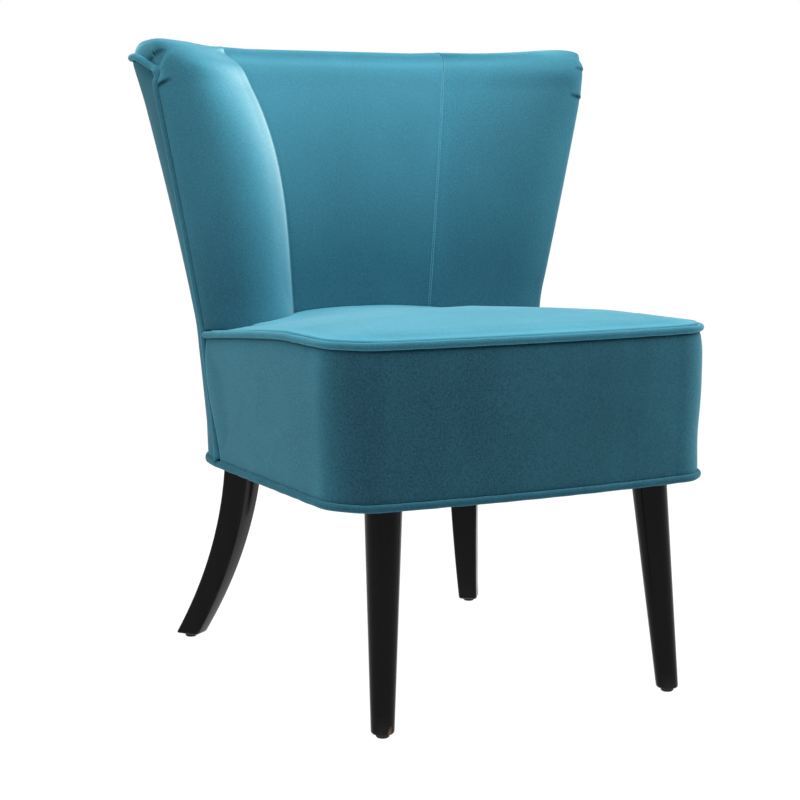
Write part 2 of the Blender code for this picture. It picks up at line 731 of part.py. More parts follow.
def seat_webbing():
    """Stretch the cross straps over the side rails and the long straps over those."""
    half = SEAT_HALF_WIDTH - BOXING_BACK - CLEAR
    first = SEAT_FRONT_Y + FRONT_BLOCK_SIZE + STRAP_WIDTH
    last = EDGE_Y_LOW - STRAP_WIDTH
    for i in range(CROSS_STRAPS):
        band = box_mesh("strap", (2 * half, STRAP_WIDTH, STRAP_THICKNESS))
        strap = webbing(f"seat_cross_strap_{i + 1}", band)
        y = mix(first, last, i / (CROSS_STRAPS - 1))
        strap.location = (0.0, y, CROSS_STRAP_Z + STRAP_THICKNESS / 2)
    front = SEAT_FRONT_Y + FRONT_BOW + BOXING_BACK + CLEAR
    spread = SEAT_HALF_WIDTH - FRONT_BLOCK_SIZE
    for i in range(LONG_STRAPS):
        x = mix(-spread, spread, (i + 0.5) / LONG_STRAPS)
        reach = abs(x) + STRAP_WIDTH / 2
        inset = PANEL_BACK + REAR_RAIL_THICKNESS / 2
        rear = rear_point(BOXING_BOTTOM_Z, rear_turn(BOXING_BOTTOM_Z, reach, inset), inset).y
        band = box_mesh("strap", (STRAP_WIDTH, rear - front, STRAP_THICKNESS))
        strap = webbing(f"seat_long_strap_{i + 1}", band)
        strap.location = (x, (front + rear) / 2, LONG_STRAP_Z + STRAP_THICKNESS / 2)


def seat_deck():
    """Lay the felt pad that keeps the foam off the straps."""
    inset = BOXING_BACK + RAIL_THICKNESS + POST_SIZE
    front = front_line(EDGE_Y_LOW, inset)
    rear = rear_run(BOXING_BOTTOM_Z, math.pi, 0.0, inset)
    outline = front + rear[1:-1]
    mesh = prism("deck", outline, DECK_Z, DECK_Z + DECK_THICKNESS)
    add_object("seat_deck_felt", mesh, (0.300, 0.300, 0.290), 0.95)


def seat_outline(inset):
    """Draw the seat in plan: front and sides inset, the rear along the inside back."""
    heights = wing_foot()
    wing = shift_line([wing_line(z)[i] for i, z in enumerate(heights)], -2 * CLEAR)
    nose = min(range(len(wing)), key=lambda i: wing[i].y)
    front = front_line(wing[nose].y, inset)
    facing = wing[:nose + 1]
    middle = [Vector((p.x, p.y - 2 * CLEAR)) for p in centre_line(heights[0], 4 * CLEAR)]
    left = [Vector((-p.x, p.y)) for p in reversed(facing[1:])]
    return front + left + middle + facing[1:]


def crown_and_fall(point):
    """Give the height of the crowned seat over a plan point, and how far it falls there."""
    edge = front_line(EDGE_Y_SEAT, PIPING_SIDE)
    reach = min((point - p).length for p in edge)
    for a, b in zip(edge, edge[1:]):
        run = b - a
        share = min(max((point - a).dot(run) / run.dot(run), 0.0), 1.0)
        reach = min(reach, (point - a - run * share).length)
    share = 1 - (1 - min(reach / CROWN_RUN, 1.0)) ** 2
    return SEAT_EDGE_Z + SEAT_CROWN * share, side_fall(point.y) * (1 - CROWN_HOLD * share)


def seat_height(point):
    """Give the height of the seat cover over a plan point."""
    crown, fall = crown_and_fall(point)
    return crown - fall


def wing_foot():
    """Give the height of each point of the wing cover's lower edge, which follows the seat down."""
    return [BACK_SOFT_Z - crown_and_fall(p)[1] for p in wing_line(BACK_SOFT_Z)]


def seat_rings(inset, drop):
    """Give the crowned top of the seat as rings that close in on its middle."""
    outline = seat_outline(inset)
    middle = Vector((0.0, (SEAT_FRONT_Y + EDGE_Y_SEAT) / 2))
    rings = []
    for share in SEAT_RINGS:
        ring = [p.lerp(middle, share) for p in outline]
        rings.append([Vector((p.x, p.y, seat_height(p) - drop)) for p in ring])
    top = Vector((middle.x, middle.y, seat_height(middle) - drop))
    return rings, top


def ring_faces(work, rings, top):
    """Build the crowned rings and the fan that closes them."""
    loops = [[work.verts.new(p) for p in ring] for ring in rings]
    count = len(loops[0])
    for outer, inner in zip(loops, loops[1:]):
        for i in range(count):
            j = (i + 1) % count
            work.faces.new((outer[i], inner[i], inner[j], outer[j]))
    peak = work.verts.new(top)
    for i in range(count):
        work.faces.new((loops[-1][i], peak, loops[-1][(i + 1) % count]))
    return loops[0]


def seat_filling():
    """Make the crowned foam block and the velvet top cover over it."""
    def build_foam(work):
        rings, top = seat_rings(PIPING_SIDE + FOAM_FACE, FOAM_FACE)
        rim = ring_faces(work, rings, top)
        low = [work.verts.new((v.co.x, v.co.y, SEAT_FOAM_Z)) for v in rim]
        count = len(rim)
        for i in range(count):
            j = (i + 1) % count
            work.faces.new((rim[i], rim[j], low[j], low[i]))
        work.faces.new(low)

    foam("seat_foam", smooth(mesh_from("seat_foam", build_foam)))

    def build_cover(work):
        rings, top = seat_rings(PIPING_SIDE, 0.0)
        ring_faces(work, rings, top)

    cover = velvet("seat_top_cover", smooth(mesh_from("seat_top_cover", build_cover)))
    shell = cover.modifiers.new("thickness", "SOLIDIFY")
    shell.thickness = COVER_THICKNESS
    shell.offset = -1.0


def seat_boxing():
    """Make the padded band round the seat, with the piping above and below it."""
    outer = []
    inner = []
    for i in range(BOXING_LEVELS + 1):
        share = i / BOXING_LEVELS
        bulge = BOXING_BULGE * BULGE_SCALE * share ** 2 * (1 - share)
        end = edge_y(mix(BOXING_BOTTOM_Z, BOXING_TOP_Z - SEAT_FALL, share)) - PIPING_SIDE
        for rows, inset in ((outer, -bulge), (inner, BOXING_THICKNESS)):
            row = []
            for p in front_line(end, inset):
                row.append(Vector((p.x, p.y, mix(BOXING_BOTTOM_Z, BOXING_TOP_Z - side_fall(p.y), share))))
            rows.append(row)
    velvet("seat_boxing", slab("seat_boxing", outer, inner))
    end = edge_y(HIGH_PIPING_Z - SEAT_FALL - PIPING_RADIUS) - PIPING_SIDE - 2 * CLEAR
    path = [Vector((p.x, p.y, HIGH_PIPING_Z - side_fall(p.y))) for p in front_line(end, 0.0)]
    tube("seat_top_piping", path, PIPING_RADIUS)
    loop = front_line(EDGE_Y_LOW, 0.0) + rear_run(LOW_PIPING_Z, math.pi, 0.0, 0.0)[1:-1]
    tube("seat_bottom_piping", raise_line(loop, LOW_PIPING_Z), PIPING_RADIUS, closed=True)


def dust_cover(heads):
    """Close the underside with black cloth, cut out round the leg plates and bolt heads."""
    inset = PIPING_SIDE
    outline = front_line(EDGE_Y_LOW, inset)
    outline += rear_run(BOXING_BOTTOM_Z, math.pi, 0.0, inset)[1:-1]
    mesh = prism("dust_cover", outline, PLATE_TOP_Z - DUST_COVER_THICKNESS, PLATE_TOP_Z)
    cover = add_object("dust_cover", mesh, (0.015, 0.015, 0.016), 0.90)
    for end in heads.values():
        for head in end.values():
            drill(cover, PLATE_RADIUS, head.x, head.y, LEG_TOP_Z, BOXING_BOTTOM_Z)


# Back frame

def post_centre(side):
    """Give the plan centre of a back post where it stands on the seat frame."""
    return Vector((side * (SEAT_HALF_WIDTH - NOSE_RADIUS), EDGE_Y_SEAT))


def back_frame():
    """Make the posts, rails, stiles and straps that carry the back."""
    post_top = BACK_TOP_Z - TOP_RAIL_DROP
    half = POST_SIZE / 2

    def side_pieces(side, word):
        loops = []
        for z in [FRAME_TOP_Z + CLEAR] + levels(BOXING_TOP_Z, post_top, BACK_LEVELS):
            centre = Vector((side * (edge_x(z) - NOSE_RADIUS), edge_y(max(z, BOXING_TOP_Z))))
            corners = ((-half, -half), (half, -half), (half, half), (-half, half))
            loops.append([Vector((centre.x + x, centre.y + y, z)) for x, y in corners])
        post = timber(f"back_post_{word}", loft("post", loops))
        spot = post_centre(side)
        bolt_low = BOXING_BOTTOM_Z
        bolt_top = FRAME_TOP_Z + BACK_BOLT_IN_POST
        neck = bolt_low + BACK_BOLT_HEAD_HEIGHT
        profile = [(0.0, bolt_top), (BACK_BOLT_RADIUS, bolt_top), (BACK_BOLT_RADIUS, neck),
                   (BACK_BOLT_HEAD_RADIUS, neck), (BACK_BOLT_HEAD_RADIUS, bolt_low), (0.0, bolt_low)]
        bolt = turned(f"back_post_bolt_{word}", profile, steel)
        bolt.location = (spot.x, spot.y, 0.0)
        drill(post, BACK_BOLT_RADIUS, spot.x, spot.y, FRAME_TOP_Z, bolt_top + CLEAR)

        face = -half - CLEAR
        corner = FRAME_TOP_Z + CLEAR
        inside = (face - BRACKET_THICKNESS, corner + BRACKET_THICKNESS)
        angle = [(face, corner), (face, corner + BRACKET_LEG), (inside[0], corner + BRACKET_LEG)]
        angle += [inside, (face - BRACKET_LEG, inside[1]), (face - BRACKET_LEG, corner)]
        loops = []
        for y in (-BRACKET_WIDTH / 2, BRACKET_WIDTH / 2):
            loops.append([Vector((spot.x + side * x, spot.y + y, z)) for x, z in angle])
        steel(f"back_bracket_{word}", loft("bracket", loops))

        loops = []
        for z in levels(LOWER_RAIL_TOP_Z + CLEAR, rail_low - CLEAR, STILE_LEVELS):
            middle = seam(z).x
            ends = [rear_turn(z, middle + x * STILE_HALF_WIDTH, PANEL_BACK) for x in (-1, 1)]
            loop = rear_steps(z, *ends, BACK_FRAME_FRONT, STILE_STEPS)
            loop += rear_steps(z, *reversed(ends), PANEL_BACK, STILE_STEPS)
            loops.append([Vector((side * p.x, p.y, z)) for p in loop])
        timber(f"back_stile_{word}", loft("stile", loops))

    def curved_rail(name, low, high):
        """Bend a rail round the back from one post to the other."""
        ends = []
        for z in (low, high):
            reach = edge_y(max(z, BOXING_TOP_Z)) + half + CLEAR - edge_y(z)
            ends.append(rear_start(z, reach, BACK_FRAME_FRONT))
        start = max(ends)
        loops = []
        for turn in rear_turns(start, math.pi - start):
            corners = [(low, BENT_RAIL_BACK), (low, BACK_FRAME_FRONT)]
            corners += [(high, BACK_FRAME_FRONT), (high, BENT_RAIL_BACK)]
            loops.append([Vector((*rear_point(z, turn, inset), z)) for z, inset in corners])
        timber(name, loft("rail", loops))

    rail_low = post_top - TOP_RAIL_HEIGHT
    both_sides(side_pieces)
    curved_rail("back_top_rail", rail_low, post_top)
    curved_rail("back_lower_rail", LOWER_RAIL_LOW_Z, LOWER_RAIL_TOP_Z)

    for i in range(BACK_STRAPS):
        middle = mix(LOWER_RAIL_TOP_Z, rail_low, (i + 1) / (BACK_STRAPS + 1))
        low = middle - BACK_STRAP_WIDTH / 2
        high = middle + BACK_STRAP_WIDTH / 2
        start = rear_turn(low, seam(low).x + 2 * STILE_HALF_WIDTH, BACK_STRAP_DEPTH)
        grids = []
        for inset in (BACK_STRAP_DEPTH + STRAP_THICKNESS, BACK_STRAP_DEPTH):
            rows = []
            for z in (low, high):
                rows.append(raise_line(rear_run(z, start, math.pi - start, inset), z))
            grids.append(rows)
        webbing(f"back_strap_{i + 1}", slab("strap", *grids))


# Back filling and covers

def back_filling():
    """Make the centre and wing foams between the covers and the frame."""
    half = POST_SIZE / 2 + CLEAR
    centre_loops = []
    wing_loops = []
    heights = levels(BACK_SOFT_Z, FACE_TOP_Z, BACK_LEVELS)
    heights[-1] -= 2 * BACK_FOAM_FACE
    for z in heights:
        face = shift_line(centre_line(z, CLEAR), BACK_FOAM_FACE)
        turn = rear_turn(z, seam(z).x - CLEAR, FOAM_BACK)
        rear = rear_steps(z, turn, math.pi - turn, FOAM_BACK, CENTRE_STEPS)
        centre_loops.append(raise_line(face + rear, z))

        face = shift_line(wing_line(z), BACK_FOAM_FACE)
        post = Vector((edge_x(z) - NOSE_RADIUS, edge_y(z)))
        inner = post.x - half
        pocket = [Vector((post.x + half, face[-1].y))]
        pocket += [post + Vector((half, -half)), post + Vector((-half, -half))]
        near = rear_turn(z, inner, FOAM_BACK)
        far = rear_turn(z, seam(z).x + 2 * CLEAR, FOAM_BACK)
        rear = rear_steps(z, near, far, FOAM_BACK, WING_REAR_STEPS)
        wing_loops.append(raise_line(face + pocket + rear, z))
    foam("back_centre_foam", loft("foam", centre_loops))
    foam("wing_foam_right", loft("foam", wing_loops))
    foam("wing_foam_left", loft("foam", mirrored(wing_loops)))


def rolled(face, rear_edge, ease):
    """Carry a cover from its face over the top of the back to the piping behind."""
    rear_z = TOP_PIPING_Z + PIPING_SIDE + COVER_THICKNESS
    rows = []
    for share, drop in TOP_ROLL_STEPS:
        low_z = FACE_TOP_Z if share < ROLL_CREST else rear_z
        full_z = mix(BACK_TOP_Z, low_z, drop)
        straight_z = mix(FACE_TOP_Z, rear_z, share)
        row = []
        for front, rear, loss in zip(face, rear_edge, ease):
            spot = front.lerp(rear, share)
            row.append(Vector((spot.x, spot.y, mix(full_z, straight_z, loss))))
        rows.append(row)
    return rows


def back_covers():
    """Make the velvet inside back, wings and outside back, with the piping between them."""
    heights = levels(BACK_SOFT_Z, FACE_TOP_Z, BACK_LEVELS)
    top_z = BACK_TOP_Z

    grid = [raise_line(centre_line(z, CLEAR), z) for z in heights]
    face = centre_line(top_z, 4 * CLEAR)
    turn = rear_turn(top_z, face[-1].x, 0.0)
    rear = rear_steps(top_z, math.pi - turn, turn, 0.0, CENTRE_STEPS)
    grid += rolled(face, rear, [0.0] * len(face))
    skin("inside_back_cover", grid, COVER_THICKNESS)

    foot = wing_foot()
    grid = []
    for i in range(BACK_LEVELS + 1):
        row = []
        for j, low_z in enumerate(foot):
            z = mix(low_z, FACE_TOP_Z, i / BACK_LEVELS)
            spot = wing_line(z)[j]
            row.append(Vector((spot.x, spot.y, z)))
        grid.append(row)
    face = wing_line(top_z)
    turn = rear_turn(top_z, face[0].x, 0.0)
    stop = rear_start(top_z, PIPING_SIDE, 0.0)
    count = len(face) - 1
    rear = rear_steps(top_z, turn, stop, 0.0, count)
    ease = [CORNER_EASE * max(i / count - 0.5, 0.0) * 2 for i in range(count + 1)]
    grid += rolled(face, rear, ease)
    skin("wing_cover_right", grid, COVER_THICKNESS)
    skin("wing_cover_left", mirrored(grid), COVER_THICKNESS)

    outer = []
    inner = []
    panel_top = TOP_PIPING_Z - PIPING_SIDE
    heights = levels(BOXING_BOTTOM_Z, LOWER_RAIL_LOW_Z, PANEL_LOW_LEVELS) + [LOWER_RAIL_TOP_Z]
    heights += levels(BOXING_TOP_Z, panel_top - PIPING_RADIUS, BACK_LEVELS)
    for z in heights + [panel_top]:
        side = PIPING_SIDE + PIPING_RADIUS if z == panel_top else PIPING_SIDE
        stop = rear_start(z, side, 0.0)
        outer.append(raise_line(rear_run(z, stop, math.pi - stop, 0.0), z))
        inner.append(raise_line(rear_run(z, stop, math.pi - stop, PANEL_THICKNESS), z))
    velvet("outside_back_panel", slab("outside_back_panel", outer, inner))

    bend = 2 * PIPING_RADIUS
    lean = (EDGE_Y_SEAT - EDGE_Y_LOW) / BOXING_HEIGHT
    rise = [BOXING_BOTTOM_Z + PIPING_RADIUS * abs(lean) + CLEAR, (BOXING_BOTTOM_Z + BOXING_TOP_Z) / 2]
    rise += levels(BOXING_TOP_Z, TOP_PIPING_Z - bend, EDGE_PIPING_LEVELS)
    right = [Vector((edge_x(z), edge_y(z), z)) for z in rise]
    for step in range(1, BEND_STEPS + 1):
        swing = math.pi / 2 * step / BEND_STEPS
        y = edge_y(TOP_PIPING_Z) + bend * (1 - math.cos(swing))
        z = TOP_PIPING_Z - bend * (1 - math.sin(swing))
        right.append(Vector((edge_x(TOP_PIPING_Z), y, z)))
    start = rear_start(TOP_PIPING_Z, 2 * bend, 0.0)
    across = raise_line(rear_run(TOP_PIPING_Z, start, math.pi - start, 0.0), TOP_PIPING_Z)
    left = [Vector((-p.x, p.y, p.z)) for p in reversed(right)]
    tube("outside_back_piping", right + across + left, PIPING_RADIUS)


def main():
    """Build the chair and centre it over its own footprint."""
    heads = {"front": {}, "rear": {}}

    def legs(side, word):
        heads["front"][word] = front_leg(side, word)
        heads["rear"][word] = rear_leg(side, word)

    both_sides(legs)
    seat_frame(heads)
    seat_webbing()
    seat_deck()
    seat_filling()
    seat_boxing()
    dust_cover(heads)
    back_frame()
    back_filling()
    back_covers()
    front_reach = SEAT_FRONT_Y - max(PIPING_RADIUS, BOXING_BULGE)
    rear_reach = rear_y(TOP_PIPING_Z) + PIPING_RADIUS
    ROOT.location = (0.0, -(front_reach + rear_reach) / 2, 0.0)


main()
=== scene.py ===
"""Armless wingback chair: the velvet, piping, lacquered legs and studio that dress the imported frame.

Units are metres, +Z is up and the chair faces -Y. The lines of the chair are drawn from the same
sizes as its frame, with Y measured from a line just ahead of the wings and then moved by root_y.
"""

import json
import logging
import math
from dataclasses import dataclass
from enum import Enum
from typing import Callable, Optional, Sequence

import bmesh
import bpy
import numpy as np
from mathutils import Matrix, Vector

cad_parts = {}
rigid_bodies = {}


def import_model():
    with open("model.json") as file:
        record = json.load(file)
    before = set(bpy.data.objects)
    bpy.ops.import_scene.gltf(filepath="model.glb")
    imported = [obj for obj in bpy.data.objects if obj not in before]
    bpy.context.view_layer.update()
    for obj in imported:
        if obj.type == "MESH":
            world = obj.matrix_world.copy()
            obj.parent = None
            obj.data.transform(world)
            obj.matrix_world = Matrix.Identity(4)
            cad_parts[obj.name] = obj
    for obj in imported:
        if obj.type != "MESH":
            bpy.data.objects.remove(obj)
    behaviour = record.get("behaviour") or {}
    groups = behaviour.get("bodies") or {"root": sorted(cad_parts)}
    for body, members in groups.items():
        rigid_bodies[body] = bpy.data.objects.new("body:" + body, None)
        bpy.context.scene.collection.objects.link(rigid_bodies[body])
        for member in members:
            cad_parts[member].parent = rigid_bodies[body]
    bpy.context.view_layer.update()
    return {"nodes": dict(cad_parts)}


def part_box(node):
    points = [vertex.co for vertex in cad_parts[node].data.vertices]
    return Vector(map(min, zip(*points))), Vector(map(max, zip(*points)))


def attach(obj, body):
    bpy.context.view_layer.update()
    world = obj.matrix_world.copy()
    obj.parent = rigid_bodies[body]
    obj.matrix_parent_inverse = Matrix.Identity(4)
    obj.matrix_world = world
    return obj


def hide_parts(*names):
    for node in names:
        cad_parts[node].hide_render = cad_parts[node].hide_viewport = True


for _item in list(bpy.data.objects):
    bpy.data.objects.remove(_item, do_unlink=True)
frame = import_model()

LOG = logging.getLogger("chair")
BODY = "root"


class Side(Enum):
    """The two sides of the chair, as seen by someone sitting in it."""

    LEFT = -1
    RIGHT = 1

    @property
    def word(self) -> str:
        """Give the side's name in lower case."""
        return self.name.lower()


class Slot(Enum):
    """The record's material slots."""

    VELVET = "velvet"
    LACQUER = "black_lacquer"
    TIMBER = "frame_timber"
    ZINC = "zinc_steel"
    PLASTIC = "glide_plastic"
    FOAM = "foam"
    WEBBING = "webbing"
    FELT = "felt"
    DUST_CLOTH = "dust_cloth"


# Lines of the chair


@dataclass(frozen=True)
class ChairLines:
    """The plan and height lines that the covers, piping and legs are drawn from."""

    root_y: float
    clear: float = 0.0003
    seat_half_width: float = 0.250
    seat_spread: float = 0.005
    seat_front_y: float = -0.3656
    front_bow: float = 0.0094
    front_corner_radius: float = 0.060
    edge_y_low: float = 0.0104
    edge_y_seat: float = 0.0580
    edge_y_top: float = 0.0478
    back_rear_y: float = 0.190
    rear_power: float = 2.15
    rear_power_gain: float = 1.38
    boxing_bottom_z: float = 0.2718
    boxing_height: float = 0.1715
    piping_radius: float = 0.0045
    back_top_z: float = 0.7986
    back_flare: float = 0.204
    back_rake: float = 0.075
    nose_radius: float = 0.036
    wing_turn: float = math.radians(28.0)
    round_pull: float = 0.5523
    seam_lift: float = 0.0555
    seam_half_gap: float = 0.1072
    seam_spread: float = 0.0207
    seam_flare: float = 0.0380
    seam_y: float = 0.0970
    seam_lean: float = -0.0039
    seam_curl: float = 0.0751
    centre_hollow: float = 0.012
    top_roll: float = 0.020
    face_top_drop: float = 0.024
    seat_fall: float = 0.0205
    fall_start_y: float = -0.200
    fall_power: float = 1.2
    seat_crown: float = 0.0170
    crown_run: float = 0.235
    crown_hold: float = 0.45
    corner_reach: float = 0.120
    corner_inset: float = 0.011
    corner_drop: float = 0.018
    corner_rise: float = 0.012
    corner_narrow: float = 2.5
    corner_ahead: float = 4.0
    corner_behind: float = 2.0

    @property
    def boxing_top_z(self) -> float:
        """Give the height of the seat box's top edge."""
        return self.boxing_bottom_z + self.boxing_height

    @property
    def low_piping_z(self) -> float:
        """Give the height of the lower piping's middle."""
        return self.boxing_bottom_z - self.clear - self.piping_radius

    @property
    def high_piping_z(self) -> float:
        """Give the height of the upper piping's middle."""
        return self.boxing_top_z + self.clear + self.piping_radius

    @property
    def piping_side(self) -> float:
        """Give the distance from a piping's middle to the cover beside it."""
        return self.piping_radius + self.clear

    @property
    def back_soft_z(self) -> float:
        """Give the height at which the inside back starts."""
        return self.high_piping_z + self.piping_radius + 2 * self.clear

    @property
    def face_top_z(self) -> float:
        """Give the height at which the inside back starts to roll over the top."""
        return self.back_top_z - self.face_top_drop

    @property
    def top_piping_z(self) -> float:
        """Give the height of the piping behind the top."""
        return self.back_top_z - self.top_roll

    def edge_y(self, z: float) -> float:
        """Give the Y of the line where the seat side and the wing meet the outside back.

        Args:
            z: Height above the floor.

        Returns:
            The Y of the line.
        """
        if z > self.boxing_top_z:
            left = (self.back_top_z - z) / (self.back_top_z - self.boxing_top_z)
            return self.edge_y_top + (self.edge_y_seat - self.edge_y_top) * left ** 2
        share = max((z - self.boxing_bottom_z) / self.boxing_height, 0.0)
        return self.edge_y_low + (self.edge_y_seat - self.edge_y_low) * share

    def edge_x(self, z: float) -> float:
        """Give the half width of the chair at that line."""
        return self.seat_half_width + self.back_flare * max(z - self.boxing_top_z, 0.0)

    def rear_y(self, z: float) -> float:
        """Give the Y of the middle of the outside back."""
        return self.back_rear_y + self.back_rake * (z - self.boxing_bottom_z)

    def front_line(self, end_y: float, inset: float, steps: int = 24) -> np.ndarray:
        """Draw the seat outline from its right end, round the front, to its left end.

        Args:
            end_y: Y of both ends.
            inset: Distance in from the outer face.
            steps: Number of steps on each side, corner and half front.

        Returns:
            Plan points, one a row.
        """
        radius = max(self.front_corner_radius - inset, 0.004)
        corner_x = self.seat_half_width + self.seat_spread - inset - radius
        corner_y = self.seat_front_y + self.front_bow + inset + radius
        share = np.linspace(0.0, 1.0, steps, endpoint=False)
        side = np.c_[self.seat_half_width - inset + self.seat_spread * share,
                     end_y + (corner_y - end_y) * share]
        turn = -math.pi / 2 * share
        corner = np.c_[corner_x + radius * np.cos(turn), corner_y + radius * np.sin(turn)]
        x = corner_x * (1 - np.linspace(0.0, 1.0, steps + 1))
        front = np.c_[x, self.seat_front_y + self.front_bow * (x / corner_x) ** 2 + inset]
        half = np.vstack((side, corner, front))
        return np.vstack((half, half[-2::-1] * (-1.0, 1.0)))

    def rear_point(self, z: float, turn: float, inset: float = 0.0) -> np.ndarray:
        """Give a point of the rounded rear outline.

        Args:
            z: Height above the floor.
            turn: Turn from the right end, up to pi at the left end.
            inset: Distance in from the outer face.

        Returns:
            The plan point.
        """
        share = min(max((z - self.boxing_bottom_z) / (self.back_top_z - self.boxing_bottom_z), 0.0), 1.0)
        power = 2 / (self.rear_power + self.rear_power_gain * share ** 2)
        across = math.cos(turn)
        x = (self.edge_x(z) - inset) * math.copysign(abs(across) ** power, across)
        depth = self.rear_y(z) - self.edge_y(z) - inset
        return np.array((x, self.edge_y(z) + depth * max(math.sin(turn), 0.0) ** power))

    def rear_line(self, z: float, ahead: float, inset: float = 0.0, steps: int = 96) -> np.ndarray:
        """Draw the rear outline between two points a little behind its ends.

        Args:
            z: Height above the floor.
            ahead: Distance behind the ends at which the line starts and stops.
            inset: Distance in from the outer face.
            steps: Number of steps.

        Returns:
            Plan points from the right to the left.
        """
        fine = np.array([self.rear_point(z, t, inset) for t in np.linspace(0.0, math.pi, 1201)])
        run = np.r_[0.0, np.cumsum(np.linalg.norm(np.diff(fine, axis=0), axis=1))]
        goal = np.linspace(ahead, run[-1] - ahead, steps + 1)
        return np.c_[np.interp(goal, run, fine[:, 0]), np.interp(goal, run, fine[:, 1])]

    def seam(self, z: float) -> np.ndarray:
        """Give the plan point of the right inside back seam."""
        low = self.boxing_top_z + self.seam_lift
        t = (z - low) / (self.back_top_z - low)
        return np.array((self.seam_half_gap + self.seam_spread * t + self.seam_flare * t ** 3,
                         self.seam_y + self.seam_lean * t + self.seam_curl * t ** 3))

    def wing_line(self, z: float, face_steps: int = 18, nose_steps: int = 10) -> np.ndarray:
        """Draw the right wing from its seam, round the nose, to the outside back piping.

        Args:
            z: Height above the floor.
            face_steps: Steps from the seam to the foremost part.
            nose_steps: Steps from there to the piping.

        Returns:
            Plan points, one a row.
        """
        start = self.seam(z)
        centre = np.array((self.edge_x(z) - self.nose_radius, self.edge_y(z)))
        ahead = np.array((math.sin(self.wing_turn), -math.cos(self.wing_turn)))
        outward = np.array((math.cos(self.wing_turn), math.sin(self.wing_turn)))
        front = centre + self.nose_radius * ahead
        first = start + ahead * self.round_pull * (front - start).dot(ahead)
        second = front - outward * self.round_pull * (front - start).dot(outward)
        s = np.linspace(0.0, 1.0, face_steps, endpoint=False)[:, None]
        face = start * (1 - s) ** 3 + first * (3 * s * (1 - s) ** 2)
        face = face + second * (3 * s ** 2 * (1 - s)) + front * s ** 3
        stop = -math.asin(self.piping_side / self.nose_radius)
        turn = np.linspace(self.wing_turn - math.pi / 2, stop, nose_steps + 1)
        nose = centre + self.nose_radius * np.c_[np.cos(turn), np.sin(turn)]
        return np.vstack((face, nose))

    def centre_line(self, z: float, steps: int = 12) -> np.ndarray:
        """Draw the centre panel from its left seam to its right one."""
        end = self.seam(z)
        x = np.linspace(-end[0], end[0], steps + 1)
        return np.c_[x, end[1] + self.centre_hollow * (1 - (x / end[0]) ** 2)]

    def eased(self, points: np.ndarray) -> np.ndarray:
        """Draw in and lower whatever lies near the two top corners of the back.

        Args:
            points: Points in space, along the last axis.

        Returns:
            The moved points.
        """
        z = self.top_piping_z
        made = points.copy()
        for side in (-1.0, 1.0):
            corner = np.array((side * self.edge_x(z), self.edge_y(z) + self.root_y, z + self.piping_side))
            away = points - corner
            x, y, height = (away[..., k] for k in range(3))
            run = y * np.where(y < 0, self.corner_ahead, self.corner_behind)
            below = self.corner_narrow * np.minimum(height, 0.0)
            span = np.sqrt((self.corner_narrow * x) ** 2 + run ** 2 + below ** 2)
            near = 1 - smoothstep(span, 0.0, self.corner_reach)
            near = near * (1 - smoothstep(height, 0.0, self.corner_rise))
            made = made + near[..., None] * np.array((-side * self.corner_inset, 0.0, -self.corner_drop))
        return made

    def side_fall(self, y: np.ndarray) -> np.ndarray:
        """Give how far the seat's top edge has fallen at distances back."""
        share = np.maximum(y - self.fall_start_y, 0.0) / (self.edge_y_seat - self.fall_start_y)
        return self.seat_fall * share ** self.fall_power

    def seat_reach(self, points: np.ndarray) -> np.ndarray:
        """Give each plan point's distance from the seat's front and side edge.

        Args:
            points: Plan points, one a row.

        Returns:
            One distance a point.
        """
        line = self.front_line(self.edge_y_seat, self.piping_side, steps=10)
        best = np.full(len(points), 1e9)
        for a, b in zip(line, line[1:]):
            run = b - a
            share = np.clip((points - a) @ run / max(run @ run, 1e-12), 0.0, 1.0)
            best = np.minimum(best, np.linalg.norm(points - a - share[:, None] * run, axis=1))
        return best

    def seat_drop(self, points: np.ndarray) -> np.ndarray:
        """Give how far the seat has fallen at plan points, less where its crown holds it up."""
        share = 1 - (1 - np.minimum(self.seat_reach(points) / self.crown_run, 1.0)) ** 2
        return self.side_fall(points[:, 1]) * (1 - self.crown_hold * share)

    def wing_foot(self) -> np.ndarray:
        """Give the height of each point of a wing's lower edge, which follows the seat down."""
        return self.back_soft_z - self.seat_drop(self.wing_line(self.back_soft_z))

    def place(self, plan: np.ndarray, z: float) -> np.ndarray:
        """Lift a plan line to a height and move it to its place over the frame.

        Args:
            plan: Plan points, one a row.
            z: Height, or one height for each point.

        Returns:
            Points in space, one a row.
        """
        return np.c_[plan[:, 0], plan[:, 1] + self.root_y, np.broadcast_to(z, len(plan))]


# Mesh making


def along(points: np.ndarray) -> np.ndarray:
    """Give the mean run along the first axis of a line or grid of points."""
    steps = np.linalg.norm(np.diff(points, axis=0), axis=-1)
    if steps.ndim > 1:
        steps = steps.mean(axis=1)
    return np.r_[0.0, np.cumsum(steps)]


def hermite(points: np.ndarray, knots: np.ndarray, goals: np.ndarray) -> np.ndarray:
    """Draw a smooth curve through points.

    Args:
        points: Points along the first axis.
        knots: Run of each point.
        goals: Runs to evaluate.

    Returns:
        One point for each goal.
    """
    slope = np.gradient(points, knots, axis=0)
    i = np.clip(np.searchsorted(knots, goals, side="right") - 1, 0, len(knots) - 2)
    h = knots[i + 1] - knots[i]
    t = (goals - knots[i]) / h
    shape = (-1,) + (1,) * (points.ndim - 1)
    t, h = t.reshape(shape), h.reshape(shape)
    return ((2 * t ** 3 - 3 * t ** 2 + 1) * points[i] + (t ** 3 - 2 * t ** 2 + t) * h * slope[i]
            + (3 * t ** 2 - 2 * t ** 3) * points[i + 1] + (t ** 3 - t ** 2) * h * slope[i + 1])


